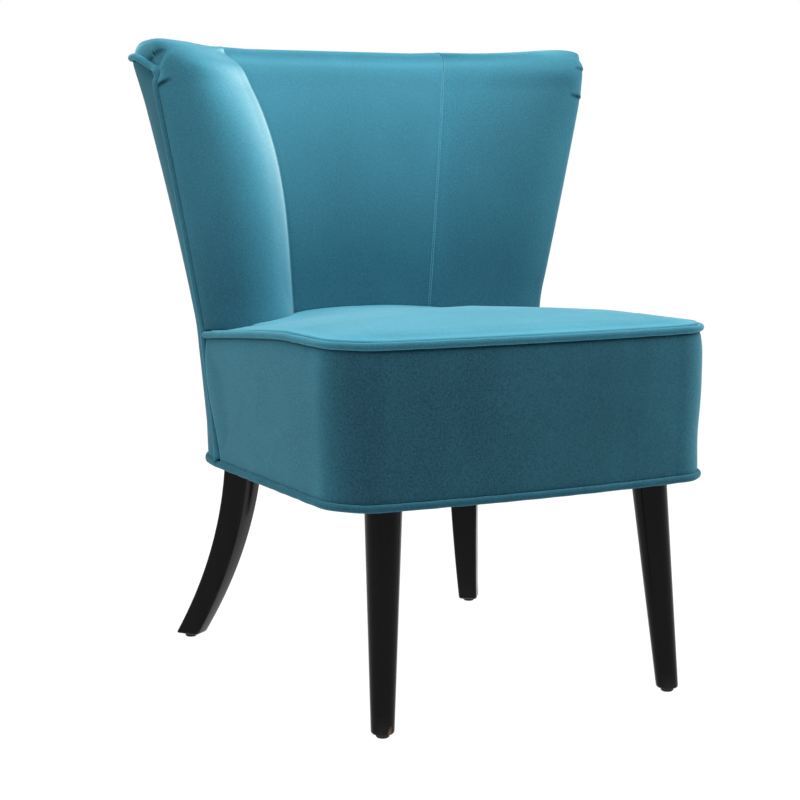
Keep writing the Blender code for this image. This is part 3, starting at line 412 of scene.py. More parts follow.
def even(points: np.ndarray, step: float) -> np.ndarray:
    """Resample a line or grid along its first axis at an even step.

    Args:
        points: Points along the first axis.
        step: Wanted distance between them.

    Returns:
        The resampled points.
    """
    knots = along(points)
    count = max(int(round(knots[-1] / step)), 2)
    return hermite(points, knots, np.linspace(0.0, knots[-1], count + 1))


def even_grid(grid: np.ndarray, step: float) -> np.ndarray:
    """Resample a grid of points at an even step both ways."""
    return even(even(grid, step).swapaxes(0, 1), step).swapaxes(0, 1)


def finer(points: np.ndarray, times: int) -> np.ndarray:
    """Put more points between those of a line or grid, on smooth curves along its first axis."""
    knots = np.arange(len(points), dtype=float)
    return hermite(points, knots, np.linspace(0.0, knots[-1], (len(points) - 1) * times + 1))


def mirrored(grid: np.ndarray) -> np.ndarray:
    """Reflect a grid to the other side of the chair, with its faces still outward."""
    return grid[:, ::-1] * (-1.0, 1.0, 1.0)


def smoothstep(value: np.ndarray, low: float, high: float) -> np.ndarray:
    """Ease from 0 at low to 1 at high."""
    t = np.clip((value - low) / (high - low), 0.0, 1.0)
    return t * t * (3 - 2 * t)


def new_object(name: str, points: np.ndarray, faces: Sequence[Sequence[int]]) -> bpy.types.Object:
    """Make a smooth-shaded mesh object and link it to the scene.

    Args:
        name: Name of the piece.
        points: Corner points, one a row.
        faces: Corner numbers of each face.

    Returns:
        The new object.
    """
    mesh = bpy.data.meshes.new(name)
    mesh.from_pydata([tuple(p) for p in points], [], [tuple(f) for f in faces])
    mesh.shade_smooth()
    made = bpy.data.objects.new(name, mesh)
    bpy.context.scene.collection.objects.link(made)
    return made


def grid_faces(rows: int, columns: int, wrap: bool = False) -> list[tuple[int, ...]]:
    """List the faces of a grid.

    Args:
        rows: Number of rows of points.
        columns: Number of points in a row.
        wrap: Whether the last column joins the first.

    Returns:
        Corner numbers of each face.
    """
    faces = []
    for i in range(rows - 1):
        for j in range(columns if wrap else columns - 1):
            k = (j + 1) % columns
            faces.append((i * columns + j, i * columns + k, (i + 1) * columns + k, (i + 1) * columns + j))
    return faces


def put_coordinates(piece: bpy.types.Object, points: np.ndarray) -> None:
    """Move a mesh's corners to new points."""
    piece.data.vertices.foreach_set("co", np.ascontiguousarray(points, np.float32).ravel())
    piece.data.update()


def coordinates(mesh: bpy.types.Mesh) -> np.ndarray:
    """Read a mesh's corners, one a row."""
    values = np.zeros(len(mesh.vertices) * 3, np.float32)
    mesh.vertices.foreach_get("co", values)
    return values.reshape(-1, 3).astype(float)


def normals(mesh: bpy.types.Mesh) -> np.ndarray:
    """Read a mesh's corner normals, one a row."""
    values = np.zeros(len(mesh.vertices) * 3, np.float32)
    mesh.vertex_normals.foreach_get("vector", values)
    return values.reshape(-1, 3).astype(float)


def put_attribute(piece: bpy.types.Object, name: str, values: np.ndarray) -> None:
    """Store one value for each corner of a mesh."""
    held = piece.data.attributes.new(name, "FLOAT", "POINT")
    held.data.foreach_set("value", np.ascontiguousarray(values, np.float32))


def apply_modifiers(piece: bpy.types.Object) -> None:
    """Replace a piece's mesh by what its modifiers make of it."""
    bpy.context.view_layer.update()
    graph = bpy.context.evaluated_depsgraph_get()
    made = bpy.data.meshes.new_from_object(piece.evaluated_get(graph))
    old = piece.data
    piece.modifiers.clear()
    piece.data = made
    bpy.data.meshes.remove(old)
    made.name = piece.name


def sweep(name: str, path: np.ndarray, radius: np.ndarray, sides: int = 14,
          closed: bool = False) -> bpy.types.Object:
    """Draw a round cord along a line.

    Args:
        name: Name of the piece.
        path: Points along the middle.
        radius: Radius at each point.
        sides: Number of sides.
        closed: Whether the end joins the start.

    Returns:
        The cord.
    """
    count = len(path)
    if closed:
        tangent = np.roll(path, -1, axis=0) - np.roll(path, 1, axis=0)
    else:
        tangent = np.gradient(path, axis=0)
    tangent /= np.linalg.norm(tangent, axis=1)[:, None]
    up = np.empty_like(path)
    first = np.array((0.0, 0.0, 1.0)) if abs(tangent[0, 2]) < 0.9 else np.array((0.0, 1.0, 0.0))
    for i in range(count):
        first = first - tangent[i] * first.dot(tangent[i])
        first /= np.linalg.norm(first)
        up[i] = first
    side = np.cross(tangent, up)
    if closed:
        twist = math.atan2(up[-1].dot(side[0]), up[-1].dot(up[0]))
        turn = np.linspace(0.0, twist, count, endpoint=False)[:, None]
        up, side = up * np.cos(turn) - side * np.sin(turn), side * np.cos(turn) + up * np.sin(turn)
    swing = np.linspace(0.0, 2 * math.pi, sides, endpoint=False)
    ring = np.cos(swing)[None, :, None] * up[:, None] + np.sin(swing)[None, :, None] * side[:, None]
    points = path[:, None] + ring * radius[:, None, None]
    faces = grid_faces(count, sides, wrap=True)
    if closed:
        last = (count - 1) * sides
        faces += [(last + j, last + (j + 1) % sides, (j + 1) % sides, j) for j in range(sides)]
    else:
        faces.append(tuple(range(sides - 1, -1, -1)))
        faces.append(tuple(range((count - 1) * sides, count * sides)))
    cord = new_object(name, points.reshape(-1, 3), [tuple(reversed(f)) for f in faces])
    face_outward(cord)
    return cord


def short_wires(name: str, spots: np.ndarray, ways: np.ndarray, outs: np.ndarray, profile: np.ndarray,
                radius: float, sides: int = 6) -> bpy.types.Object:
    """Draw many short bent wires, such as stitches or staples, as one mesh.

    Args:
        name: Name of the piece.
        spots: Middle of each wire, one a row.
        ways: Direction that each wire runs in.
        outs: Direction away from the surface under each wire.
        profile: Run and height of the points of a wire's bend, one a row.
        radius: Radius of the wire.
        sides: Number of sides.

    Returns:
        The wires.
    """
    slope = np.gradient(profile, axis=0)
    slope /= np.linalg.norm(slope, axis=1)[:, None]
    across = np.cross(ways, outs)
    swing = np.linspace(0.0, 2 * math.pi, sides, endpoint=False)
    points = []
    faces = []
    one = grid_faces(len(profile), sides, wrap=True)
    one.append(tuple(range(sides - 1, -1, -1)))
    one.append(tuple(range((len(profile) - 1) * sides, len(profile) * sides)))
    for spot, way, out, wide in zip(spots, ways, outs, across):
        base = len(points)
        for (run, height), (ahead, rise) in zip(profile, slope):
            middle = spot + way * run + out * height
            tall = out * ahead - way * rise
            points.extend(middle + radius * (math.cos(a) * tall + math.sin(a) * wide) for a in swing)
        faces.extend(tuple(base + i for i in face) for face in one)
    made = new_object(name, np.array(points), faces)
    face_outward(made)
    return made


def face_outward(piece: bpy.types.Object) -> None:
    """Turn the faces of a closed mesh outward."""
    work = bmesh.new()
    work.from_mesh(piece.data)
    bmesh.ops.recalc_face_normals(work, faces=work.faces)
    work.to_mesh(piece.data)
    work.free()


def wander(points: np.ndarray, size: float, seed: float) -> np.ndarray:
    """Give a smooth value from -1 to 1 that drifts over space.

    Args:
        points: Points, one a row.
        size: Rough distance between bumps.
        seed: Offset that tells one piece from another.

    Returns:
        One value a point.
    """
    p = points * (2 * math.pi / size) + seed
    value = (np.sin(p[:, 0] + 1.7 * np.sin(0.6 * p[:, 1] + seed))
             + np.sin(1.13 * p[:, 1] + 1.3 * np.sin(0.7 * p[:, 2]))
             + np.sin(0.91 * p[:, 2] + 1.1 * np.sin(0.8 * p[:, 0])))
    return value / 3


# Node groups and finishes


class Group:
    """A shader node group under construction, with named inputs and outputs."""

    def __init__(self, name: str) -> None:
        """Start an empty group."""
        self.tree = bpy.data.node_groups.new(name, "ShaderNodeTree")
        self.enter = self.tree.nodes.new("NodeGroupInput")
        self.leave = self.tree.nodes.new("NodeGroupOutput")

    def take(self, name: str, kind: str, value: object = None) -> bpy.types.NodeSocket:
        """Add an input.

        Args:
            name: Name of the input.
            kind: Socket type, such as Float.
            value: Value it starts with.

        Returns:
            The socket to link from.
        """
        made = self.tree.interface.new_socket(name, in_out="INPUT", socket_type=f"NodeSocket{kind}")
        if value is not None:
            made.default_value = value
        return self.enter.outputs[name]

    def give(self, name: str, kind: str, source: bpy.types.NodeSocket) -> None:
        """Add an output that carries a socket's value."""
        self.tree.interface.new_socket(name, in_out="OUTPUT", socket_type=f"NodeSocket{kind}")
        self.tree.links.new(source, self.leave.inputs[name])


def node(tree: bpy.types.NodeTree, kind: str, **links: object) -> bpy.types.Node:
    """Add a node and set or link its inputs.

    Args:
        tree: Tree that the node goes in.
        kind: Node type without its ShaderNode prefix.
        links: Input names, with _ for a space, and the values or sockets that go into them. Names of
            the node's own settings are set as they are.

    Returns:
        The node.
    """
    made = tree.nodes.new(f"ShaderNode{kind}")
    for name, value in links.items():
        if name in ("operation", "blend_type", "data_type", "noise_dimensions", "feature", "bands_direction",
                    "wave_type", "attribute_name", "interpolation_type", "clamp"):
            setattr(made, name, value)
    for name, value in links.items():
        label = name.replace("_", " ")
        spots = [s for s in made.inputs if s.name == label and s.enabled]
        if name.startswith("in") and name[2:].isdigit():
            spots = [made.inputs[int(name[2:])]]
        if not spots:
            continue
        if isinstance(value, bpy.types.NodeSocket):
            tree.links.new(value, spots[0])
        else:
            spots[0].default_value = value
    return made


def calc(tree: bpy.types.NodeTree, operation: str, *values: object) -> bpy.types.NodeSocket:
    """Add a Math node over values or sockets and give its output."""
    made = node(tree, "Math", operation=operation, **{f"in{i}": v for i, v in enumerate(values)})
    return made.outputs[0]


def ramp(tree: bpy.types.NodeTree, value: bpy.types.NodeSocket, low: float, high: float,
         to_low: float = 0.0, to_high: float = 1.0) -> bpy.types.NodeSocket:
    """Ease a value from one range to another."""
    made = node(tree, "MapRange", interpolation_type="SMOOTHSTEP", Value=value, From_Min=low, From_Max=high,
                To_Min=to_low, To_Max=to_high)
    return made.outputs["Result"]


def blend(tree: bpy.types.NodeTree, share: object, a: object, b: object,
          kind: str = "MIX") -> bpy.types.NodeSocket:
    """Mix two colours by a share."""
    made = node(tree, "Mix", data_type="RGBA", blend_type=kind)
    spots = {s.identifier: s for s in made.inputs}
    for spot, value in ((spots["Factor_Float"], share), (spots["A_Color"], a), (spots["B_Color"], b)):
        if isinstance(value, bpy.types.NodeSocket):
            tree.links.new(value, spot)
        else:
            spot.default_value = value
    return [s for s in made.outputs if s.identifier == "Result_Color"][0]


class SharedEffects:
    """The effects that several finishes use, each built once as a node group."""

    def __init__(self) -> None:
        """Build every group."""
        self.pile = self.make_pile()
        self.weave = self.make_weave()
        self.grain = self.make_grain()
        self.scuffs = self.make_scuffs()

    @staticmethod
    def make_pile() -> bpy.types.NodeTree:
        """Build the short velvet pile: fine grain, soft brush marks and a bump height."""
        group = Group("velvet_pile")
        tree = group.tree
        place = group.take("Place", "Vector")
        fine = group.take("Fine", "Float", 620.0)
        marks = group.take("Marks", "Float", 11.0)
        grain = node(tree, "TexNoise", Vector=place, Scale=fine, Detail=2.0, Roughness=0.6).outputs[0]
        coarse = calc(tree, "MULTIPLY", fine, 0.6)
        speck = node(tree, "TexNoise", Vector=place, Scale=coarse, Detail=1.0).outputs[0]
        stretch = node(tree, "Mapping", Vector=place, Scale=(1.0, 1.0, 0.55)).outputs[0]
        cloud = node(tree, "TexNoise", Vector=stretch, Scale=marks, Detail=3.0, Roughness=0.55,
                     Distortion=0.6)
        mixed = calc(tree, "ADD", grain, calc(tree, "MULTIPLY", speck, 0.7))
        group.give("Grain", "Float", ramp(tree, mixed, 0.42, 1.28))
        group.give("Marks", "Float", ramp(tree, cloud.outputs[0], 0.30, 0.70))
        group.give("Height", "Float", calc(tree, "ADD", grain, calc(tree, "MULTIPLY", speck, 0.8)))
        return tree

    @staticmethod
    def make_weave() -> bpy.types.NodeTree:
        """Build a plain weave of crossing threads, seen from above and from the sides."""
        group = Group("plain_weave")
        tree = group.tree
        place = group.take("Place", "Vector")
        threads = group.take("Threads", "Float", 700.0)
        split = node(tree, "SeparateXYZ", Vector=place)
        waves = []
        for axis in ("X", "Y"):
            run = calc(tree, "MULTIPLY", split.outputs[axis], threads)
            waves.append(calc(tree, "ABSOLUTE", calc(tree, "SINE", run)))
        cross = calc(tree, "MAXIMUM", waves[0], waves[1])
        fuzz = node(tree, "TexNoise", Vector=place, Scale=threads, Detail=2.0).outputs[0]
        group.give("Threads", "Float", calc(tree, "MULTIPLY", cross, fuzz))
        group.give("Height", "Float", cross)
        return tree

    @staticmethod
    def make_grain() -> bpy.types.NodeTree:
        """Build timber grain: long streaks and growth rings along a chosen stretch."""
        group = Group("timber_grain")
        tree = group.tree
        place = group.take("Place", "Vector")
        stretch = group.take("Stretch", "Vector", (1.0, 1.0, 1.0))
        long = node(tree, "VectorMath", operation="MULTIPLY", in0=place, in1=stretch).outputs[0]
        streak = node(tree, "TexNoise", Vector=long, Scale=90.0, Detail=4.0, Roughness=0.65).outputs[0]
        rings = node(tree, "TexWave", wave_type="RINGS", Vector=long, Scale=14.0, Distortion=5.0, Detail=2.0)
        group.give("Grain", "Float", calc(tree, "ADD", calc(tree, "MULTIPLY", streak, 0.6),
                                          calc(tree, "MULTIPLY", rings.outputs["Fac"], 0.4)))
        group.give("Height", "Float", streak)
        return tree

    @staticmethod
    def make_scuffs() -> bpy.types.NodeTree:
        """Build thin scratches and dull patches for hard surfaces."""
        group = Group("fine_scuffs")
        tree = group.tree
        place = group.take("Place", "Vector")
        stretch = group.take("Stretch", "Vector", (1.0, 1.0, 1.0))
        amount = group.take("Amount", "Float", 0.5)
        long = node(tree, "VectorMath", operation="MULTIPLY", in0=place, in1=stretch).outputs[0]
        lines = node(tree, "TexNoise", Vector=long, Scale=160.0, Detail=5.0, Roughness=0.7).outputs[0]
        cloud = node(tree, "TexNoise", Vector=place, Scale=22.0, Detail=3.0).outputs[0]
        thin = ramp(tree, lines, 0.66, 0.74)
        group.give("Scratches", "Float", calc(tree, "MULTIPLY", thin, calc(tree, "MULTIPLY", cloud, amount)))
        group.give("Dull", "Float", ramp(tree, cloud, 0.35, 0.75))
        return tree


class Finish:
    """Base of the finishes: starts a material and closes it with its shader."""

    name: str
    slot: Slot

    def start(self) -> tuple[bpy.types.Material, bpy.types.NodeTree, bpy.types.Node, bpy.types.NodeSocket]:
        """Start the material.

        Returns:
            The material, its node tree, its Principled BSDF and the object's own coordinates.
        """
        made = bpy.data.materials.new(self.name)
        made.use_nodes = True
        tree = made.node_tree
        place = tree.nodes.new("ShaderNodeTexCoord").outputs["Object"]
        return made, tree, tree.nodes["Principled BSDF"], place

    @staticmethod
    def effect(tree: bpy.types.NodeTree, group: bpy.types.NodeTree, **values: object) -> bpy.types.Node:
        """Place a shared effect in the material with its own values."""
        made = tree.nodes.new("ShaderNodeGroup")
        made.node_tree = group
        for name, value in values.items():
            spot = made.inputs[name]
            if isinstance(value, bpy.types.NodeSocket):
                tree.links.new(value, spot)
            else:
                spot.default_value = value
        return made

    @staticmethod
    def bump(tree: bpy.types.NodeTree, shader: bpy.types.Node, height: bpy.types.NodeSocket, strength: float,
             distance: float) -> None:
        """Feed a height into the shader's normal."""
        made = node(tree, "Bump", Strength=strength, Distance=distance, Height=height)
        tree.links.new(made.outputs[0], shader.inputs["Normal"])

    def material(self, shared: SharedEffects) -> bpy.types.Material:
        """Make the finish's material."""
        raise NotImplementedError


@dataclass(frozen=True)
class VelvetFinish(Finish):
    """Teal cut-pile velvet, its colour painted paler where it is seen at a slant (painted sheen), lighter
    piece by piece (painted light) and darker along seams (painted shade).
    """

    name: str = "teal_velvet"
    slot: Slot = Slot.VELVET
    deep: tuple[float, float, float] = (0.0105, 0.039, 0.063)
    # light is the lighter tone that grain and painted light lift the colour toward.
    light: tuple[float, float, float] = (0.062, 0.270, 0.370)
    # slant and edge are painted sheen colours, mixed in where the velvet is seen at a slant.
    slant: tuple[float, float, float] = (0.125, 0.600, 0.790)
    edge: tuple[float, float, float] = (0.640, 0.940, 1.000)
    # shade is the painted shade colour of seams and pleat lines.
    shade: tuple[float, float, float] = (0.004, 0.020, 0.032)
    sheen: float = 0.3
    sheen_roughness: float = 0.35
    sheen_tint: tuple[float, float, float] = (0.48, 0.88, 1.0)

    def material(self, shared: SharedEffects) -> bpy.types.Material:
        """Make the velvet.

        Args:
            shared: Node groups to place.

        Returns:
            The material.
        """
        made, tree, shader, place = self.start()
        pile = self.effect(tree, shared.pile, Place=place)
        # Painted light: a stored share for each point lifts the colour toward the lighter tone, set piece by
        # piece.
        lay = node(tree, "Attribute", attribute_name="lay").outputs["Fac"]
        share = calc(tree, "ADD", calc(tree, "MULTIPLY", pile.outputs["Grain"], 0.25),
                     calc(tree, "MULTIPLY", pile.outputs["Marks"], 0.06))
        colour = blend(tree, calc(tree, "ADD", share, calc(tree, "MULTIPLY", lay, 0.7)), (*self.deep, 1.0),
                       (*self.light, 1.0))
        # Painted sheen: the colour turns paler where the surface is seen at a slant, scaled by a stored
        # strength for each point.
        facing = node(tree, "LayerWeight", Blend=0.5).outputs["Facing"]
        nap = node(tree, "Attribute", attribute_name="nap").outputs["Fac"]
        slant = calc(tree, "MULTIPLY", calc(tree, "POWER", facing, 1.25), nap)
        slant = calc(tree, "MULTIPLY", slant, ramp(tree, share, 0.0, 0.36, 0.72, 1.18))
        pale = calc(tree, "MULTIPLY", calc(tree, "POWER", facing, 4.0), calc(tree, "MULTIPLY", nap, nap))
        bright = blend(tree, pale, (*self.slant, 1.0), (*self.edge, 1.0))
        colour = blend(tree, slant, colour, bright)
        # Painted shade: the colour darkens along seams and pleat lines.
        seam = node(tree, "Attribute", attribute_name="crease").outputs["Fac"]
        dark = blend(tree, seam, colour, (*self.shade, 1.0))
        tree.links.new(dark, shader.inputs["Base Color"])
        tree.links.new(ramp(tree, pile.outputs["Grain"], 0.0, 1.0, 0.78, 0.95), shader.inputs["Roughness"])
        shader.inputs["Specular IOR Level"].default_value = 0.12
        shader.inputs["Sheen Weight"].default_value = self.sheen
        shader.inputs["Sheen Roughness"].default_value = self.sheen_roughness
        shader.inputs["Sheen Tint"].default_value = (*self.sheen_tint, 1.0)
        self.bump(tree, shader, pile.outputs["Height"], 0.35, 0.0008)
        return made


@dataclass(frozen=True)
class LacquerFinish(Finish):
    """Satin black lacquer over wood, scuffed near the feet."""

    name: str = "satin_black_lacquer"
    slot: Slot = Slot.LACQUER
    colour: tuple[float, float, float] = (0.0026, 0.0025, 0.0028)
    worn: tuple[float, float, float] = (0.040, 0.037, 0.035)
    chip: tuple[float, float, float] = (0.300, 0.170, 0.090)

    def material(self, shared: SharedEffects) -> bpy.types.Material:
        """Make the lacquer.

        Args:
            shared: Node groups to place.

        Returns:
            The material.
        """
        made, tree, shader, place = self.start()
        scuffs = self.effect(tree, shared.scuffs, Place=place, Stretch=(1.0, 1.0, 0.12), Amount=0.9)
        grain = self.effect(tree, shared.grain, Place=place, Stretch=(1.0, 1.0, 0.06))
        wear = node(tree, "Attribute", attribute_name="wear").outputs["Fac"]
        worn = calc(tree, "MULTIPLY", wear, ramp(tree, grain.outputs["Grain"], 0.35, 0.65))
        colour = blend(tree, calc(tree, "MAXIMUM", scuffs.outputs["Scratches"], worn), (*self.colour, 1.0),
                       (*self.worn, 1.0))
        chips = node(tree, "Attribute", attribute_name="chip").outputs["Fac"]
        tree.links.new(blend(tree, chips, colour, (*self.chip, 1.0)), shader.inputs["Base Color"])
        tree.links.new(ramp(tree, scuffs.outputs["Dull"], 0.0, 1.0, 0.13, 0.22), shader.inputs["Roughness"])
        shader.inputs["Specular IOR Level"].default_value = 0.10
        self.bump(tree, shader, grain.outputs["Height"], 0.10, 0.0004)
        return made


@dataclass(frozen=True)
class TimberFinish(Finish):
    """Pale planed frame timber."""

    name: str = "planed_timber"
    slot: Slot = Slot.TIMBER
    pale: tuple[float, float, float] = (0.620, 0.440, 0.250)
    dark: tuple[float, float, float] = (0.400, 0.250, 0.125)

    def material(self, shared: SharedEffects) -> bpy.types.Material:
        """Make the timber.

        Args:
            shared: Node groups to place.

        Returns:
            The material.
        """
        made, tree, shader, place = self.start()
        grain = self.effect(tree, shared.grain, Place=place, Stretch=(0.25, 1.0, 1.0))
        colour = blend(tree, ramp(tree, grain.outputs["Grain"], 0.25, 0.75), (*self.pale, 1.0),
                       (*self.dark, 1.0))
        tree.links.new(colour, shader.inputs["Base Color"])
        tree.links.new(ramp(tree, grain.outputs["Grain"], 0.0, 1.0, 0.55, 0.75), shader.inputs["Roughness"])
        self.bump(tree, shader, grain.outputs["Height"], 0.25, 0.0006)
        return made


@dataclass(frozen=True)
class ZincFinish(Finish):
    """Zinc plated steel with a faint spangle."""

    name: str = "zinc_plating"
    slot: Slot = Slot.ZINC
    bright: tuple[float, float, float] = (0.640, 0.640, 0.620)
    dull: tuple[float, float, float] = (0.420, 0.430, 0.430)

    def material(self, shared: SharedEffects) -> bpy.types.Material:
        """Make the plating.

        Args:
            shared: Node groups to place.

        Returns:
            The material.
        """
        made, tree, shader, place = self.start()
        scuffs = self.effect(tree, shared.scuffs, Place=place, Stretch=(1.0, 0.2, 1.0), Amount=0.6)
        colour = blend(tree, scuffs.outputs["Dull"], (*self.bright, 1.0), (*self.dull, 1.0))
        tree.links.new(colour, shader.inputs["Base Color"])
        tree.links.new(ramp(tree, scuffs.outputs["Dull"], 0.0, 1.0, 0.28, 0.45), shader.inputs["Roughness"])
        shader.inputs["Metallic"].default_value = 1.0
        self.bump(tree, shader, scuffs.outputs["Scratches"], 0.15, 0.0003)
        return made


@dataclass(frozen=True)
class ClothFinish(Finish):
    """A plain cloth, felt, webbing, foam or matt moulding, told apart by its colours and threads."""

    name: str
    slot: Slot
    low: tuple[float, float, float]
    high: tuple[float, float, float]
    threads: float
    roughness: float
    depth: float

    def material(self, shared: SharedEffects) -> bpy.types.Material:
        """Make the cloth.

        Args:
            shared: Node groups to place.

        Returns:
            The material.
        """
        made, tree, shader, place = self.start()
        weave = self.effect(tree, shared.weave, Place=place, Threads=self.threads)
        pile = self.effect(tree, shared.pile, Place=place, Fine=self.threads * 0.8, Marks=16.0)
        both = calc(tree, "ADD", weave.outputs["Threads"], pile.outputs["Marks"])
        share = calc(tree, "MULTIPLY", both, 0.5)
        tree.links.new(blend(tree, share, (*self.low, 1.0), (*self.high, 1.0)), shader.inputs["Base Color"])
        tree.links.new(ramp(tree, pile.outputs["Grain"], 0.0, 1.0, self.roughness - 0.08, self.roughness),
                       shader.inputs["Roughness"])
        shader.inputs["Specular IOR Level"].default_value = 0.25
        self.bump(tree, shader, weave.outputs["Height"], 0.4, self.depth)
        return made


class Palette:
    """Every finish of the chair, made once."""

    def __init__(self) -> None:
        """Make the node groups and the materials."""
        shared = SharedEffects()
        finishes: list[Finish] = [
            VelvetFinish(), LacquerFinish(), TimberFinish(), ZincFinish(),
            ClothFinish("glide_moulding", Slot.PLASTIC, (0.014, 0.014, 0.014), (0.030, 0.030, 0.030),
                        1500.0, 0.5, 0.0001),
            ClothFinish("seat_foam", Slot.FOAM, (0.70, 0.62, 0.42), (0.86, 0.80, 0.60), 900.0, 0.95, 0.0006),
            ClothFinish("elastic_webbing", Slot.WEBBING, (0.030, 0.027, 0.025), (0.110, 0.100, 0.090),
                        1400.0, 0.9, 0.0005),
            ClothFinish("deck_felt", Slot.FELT, (0.20, 0.20, 0.19), (0.40, 0.39, 0.37), 500.0, 0.95, 0.0005),
            ClothFinish("dust_cloth_weave", Slot.DUST_CLOTH, (0.009, 0.009, 0.010), (0.030, 0.030, 0.032),
                        1800.0, 0.9, 0.0003),
        ]
        self.made = {finish.slot: finish.material(shared) for finish in finishes}
        thread = ClothFinish("seam_thread", Slot.VELVET, (0.070, 0.280, 0.370), (0.170, 0.520, 0.640),
                             5200.0, 0.6, 0.0001)
        self.thread = thread.material(shared)

    def dress(self, piece: bpy.types.Object, slot: Slot,
              paint: Optional[bpy.types.Material] = None) -> bpy.types.Object:
        """Give a new piece its finish and let it move with the body.

        Args:
            piece: Piece to dress.
            slot: Slot of its finish.
            paint: Material to use in place of the slot's own.

        Returns:
            The piece.
        """
        self.paint(piece, slot, paint)
        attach(piece, BODY)
        return piece

    def paint(self, piece: bpy.types.Object, slot: Slot, paint: Optional[bpy.types.Material] = None) -> None:
        """Put a slot's material, or the one given, on a piece."""
        piece.data.materials.clear()
        piece.data.materials.append(paint or self.made[slot])


# Soft covers


@dataclass(frozen=True)
class Pleat:
    """A short fold that takes up the fullness of a cover at a corner.

    It starts at the cover's outer edge, passes a middle point and dies out at its inner end.
    """

    start: tuple[float, float, float]
    middle: tuple[float, float, float]
    stop: tuple[float, float, float]
    depth: float = 0.0022
    run: float = 0.006
    # line is the width of the painted shade along the fold.
    line: float = 0.0024

    def curve(self, root_y: float) -> np.ndarray:
        """Draw the fold's line over the frame."""
        first, past, last = (np.array(p) + (0.0, root_y, 0.0) for p in (self.start, self.middle, self.stop))
        pull = 2 * past - (first + last) / 2
        s = np.linspace(0.0, 1.0, 40)[:, None]
        return first * (1 - s) ** 2 + pull * (2 * s * (1 - s)) + last * s ** 2

    def fold(self, points: np.ndarray, out: np.ndarray, root_y: float) -> tuple[np.ndarray, np.ndarray]:
        """Work out how far the fold lifts each point, and the painted shade along its line.

        Args:
            points: Points of the cover, one a row.
            out: Outward direction at each point.
            root_y: How far the frame was moved.

        Returns:
            Lift and painted shade of each point.
        """
        curve = self.curve(root_y)
        ways = np.gradient(curve, axis=0)
        gaps = points[:, None] - curve[None]
        spans = np.linalg.norm(gaps, axis=2)
        near = spans.argmin(axis=1)
        rows = np.arange(len(points))
        above = np.cross(out, ways[near])
        above *= np.where(above[:, 2:] < 0, -1.0, 1.0)
        off = np.copysign(spans[rows, near], np.einsum("ij,ij->i", gaps[rows, near], above))
        hold = np.sin(math.pi * (0.25 + 0.75 * near / (len(curve) - 1))) ** 0.8
        lift = np.where(off > 0, np.exp(-np.abs(off) / self.run),
                        -0.45 * np.exp(-np.abs(off) / (0.6 * self.run)))
        return self.depth * lift * hold, np.exp(-(off / self.line) ** 2) * hold


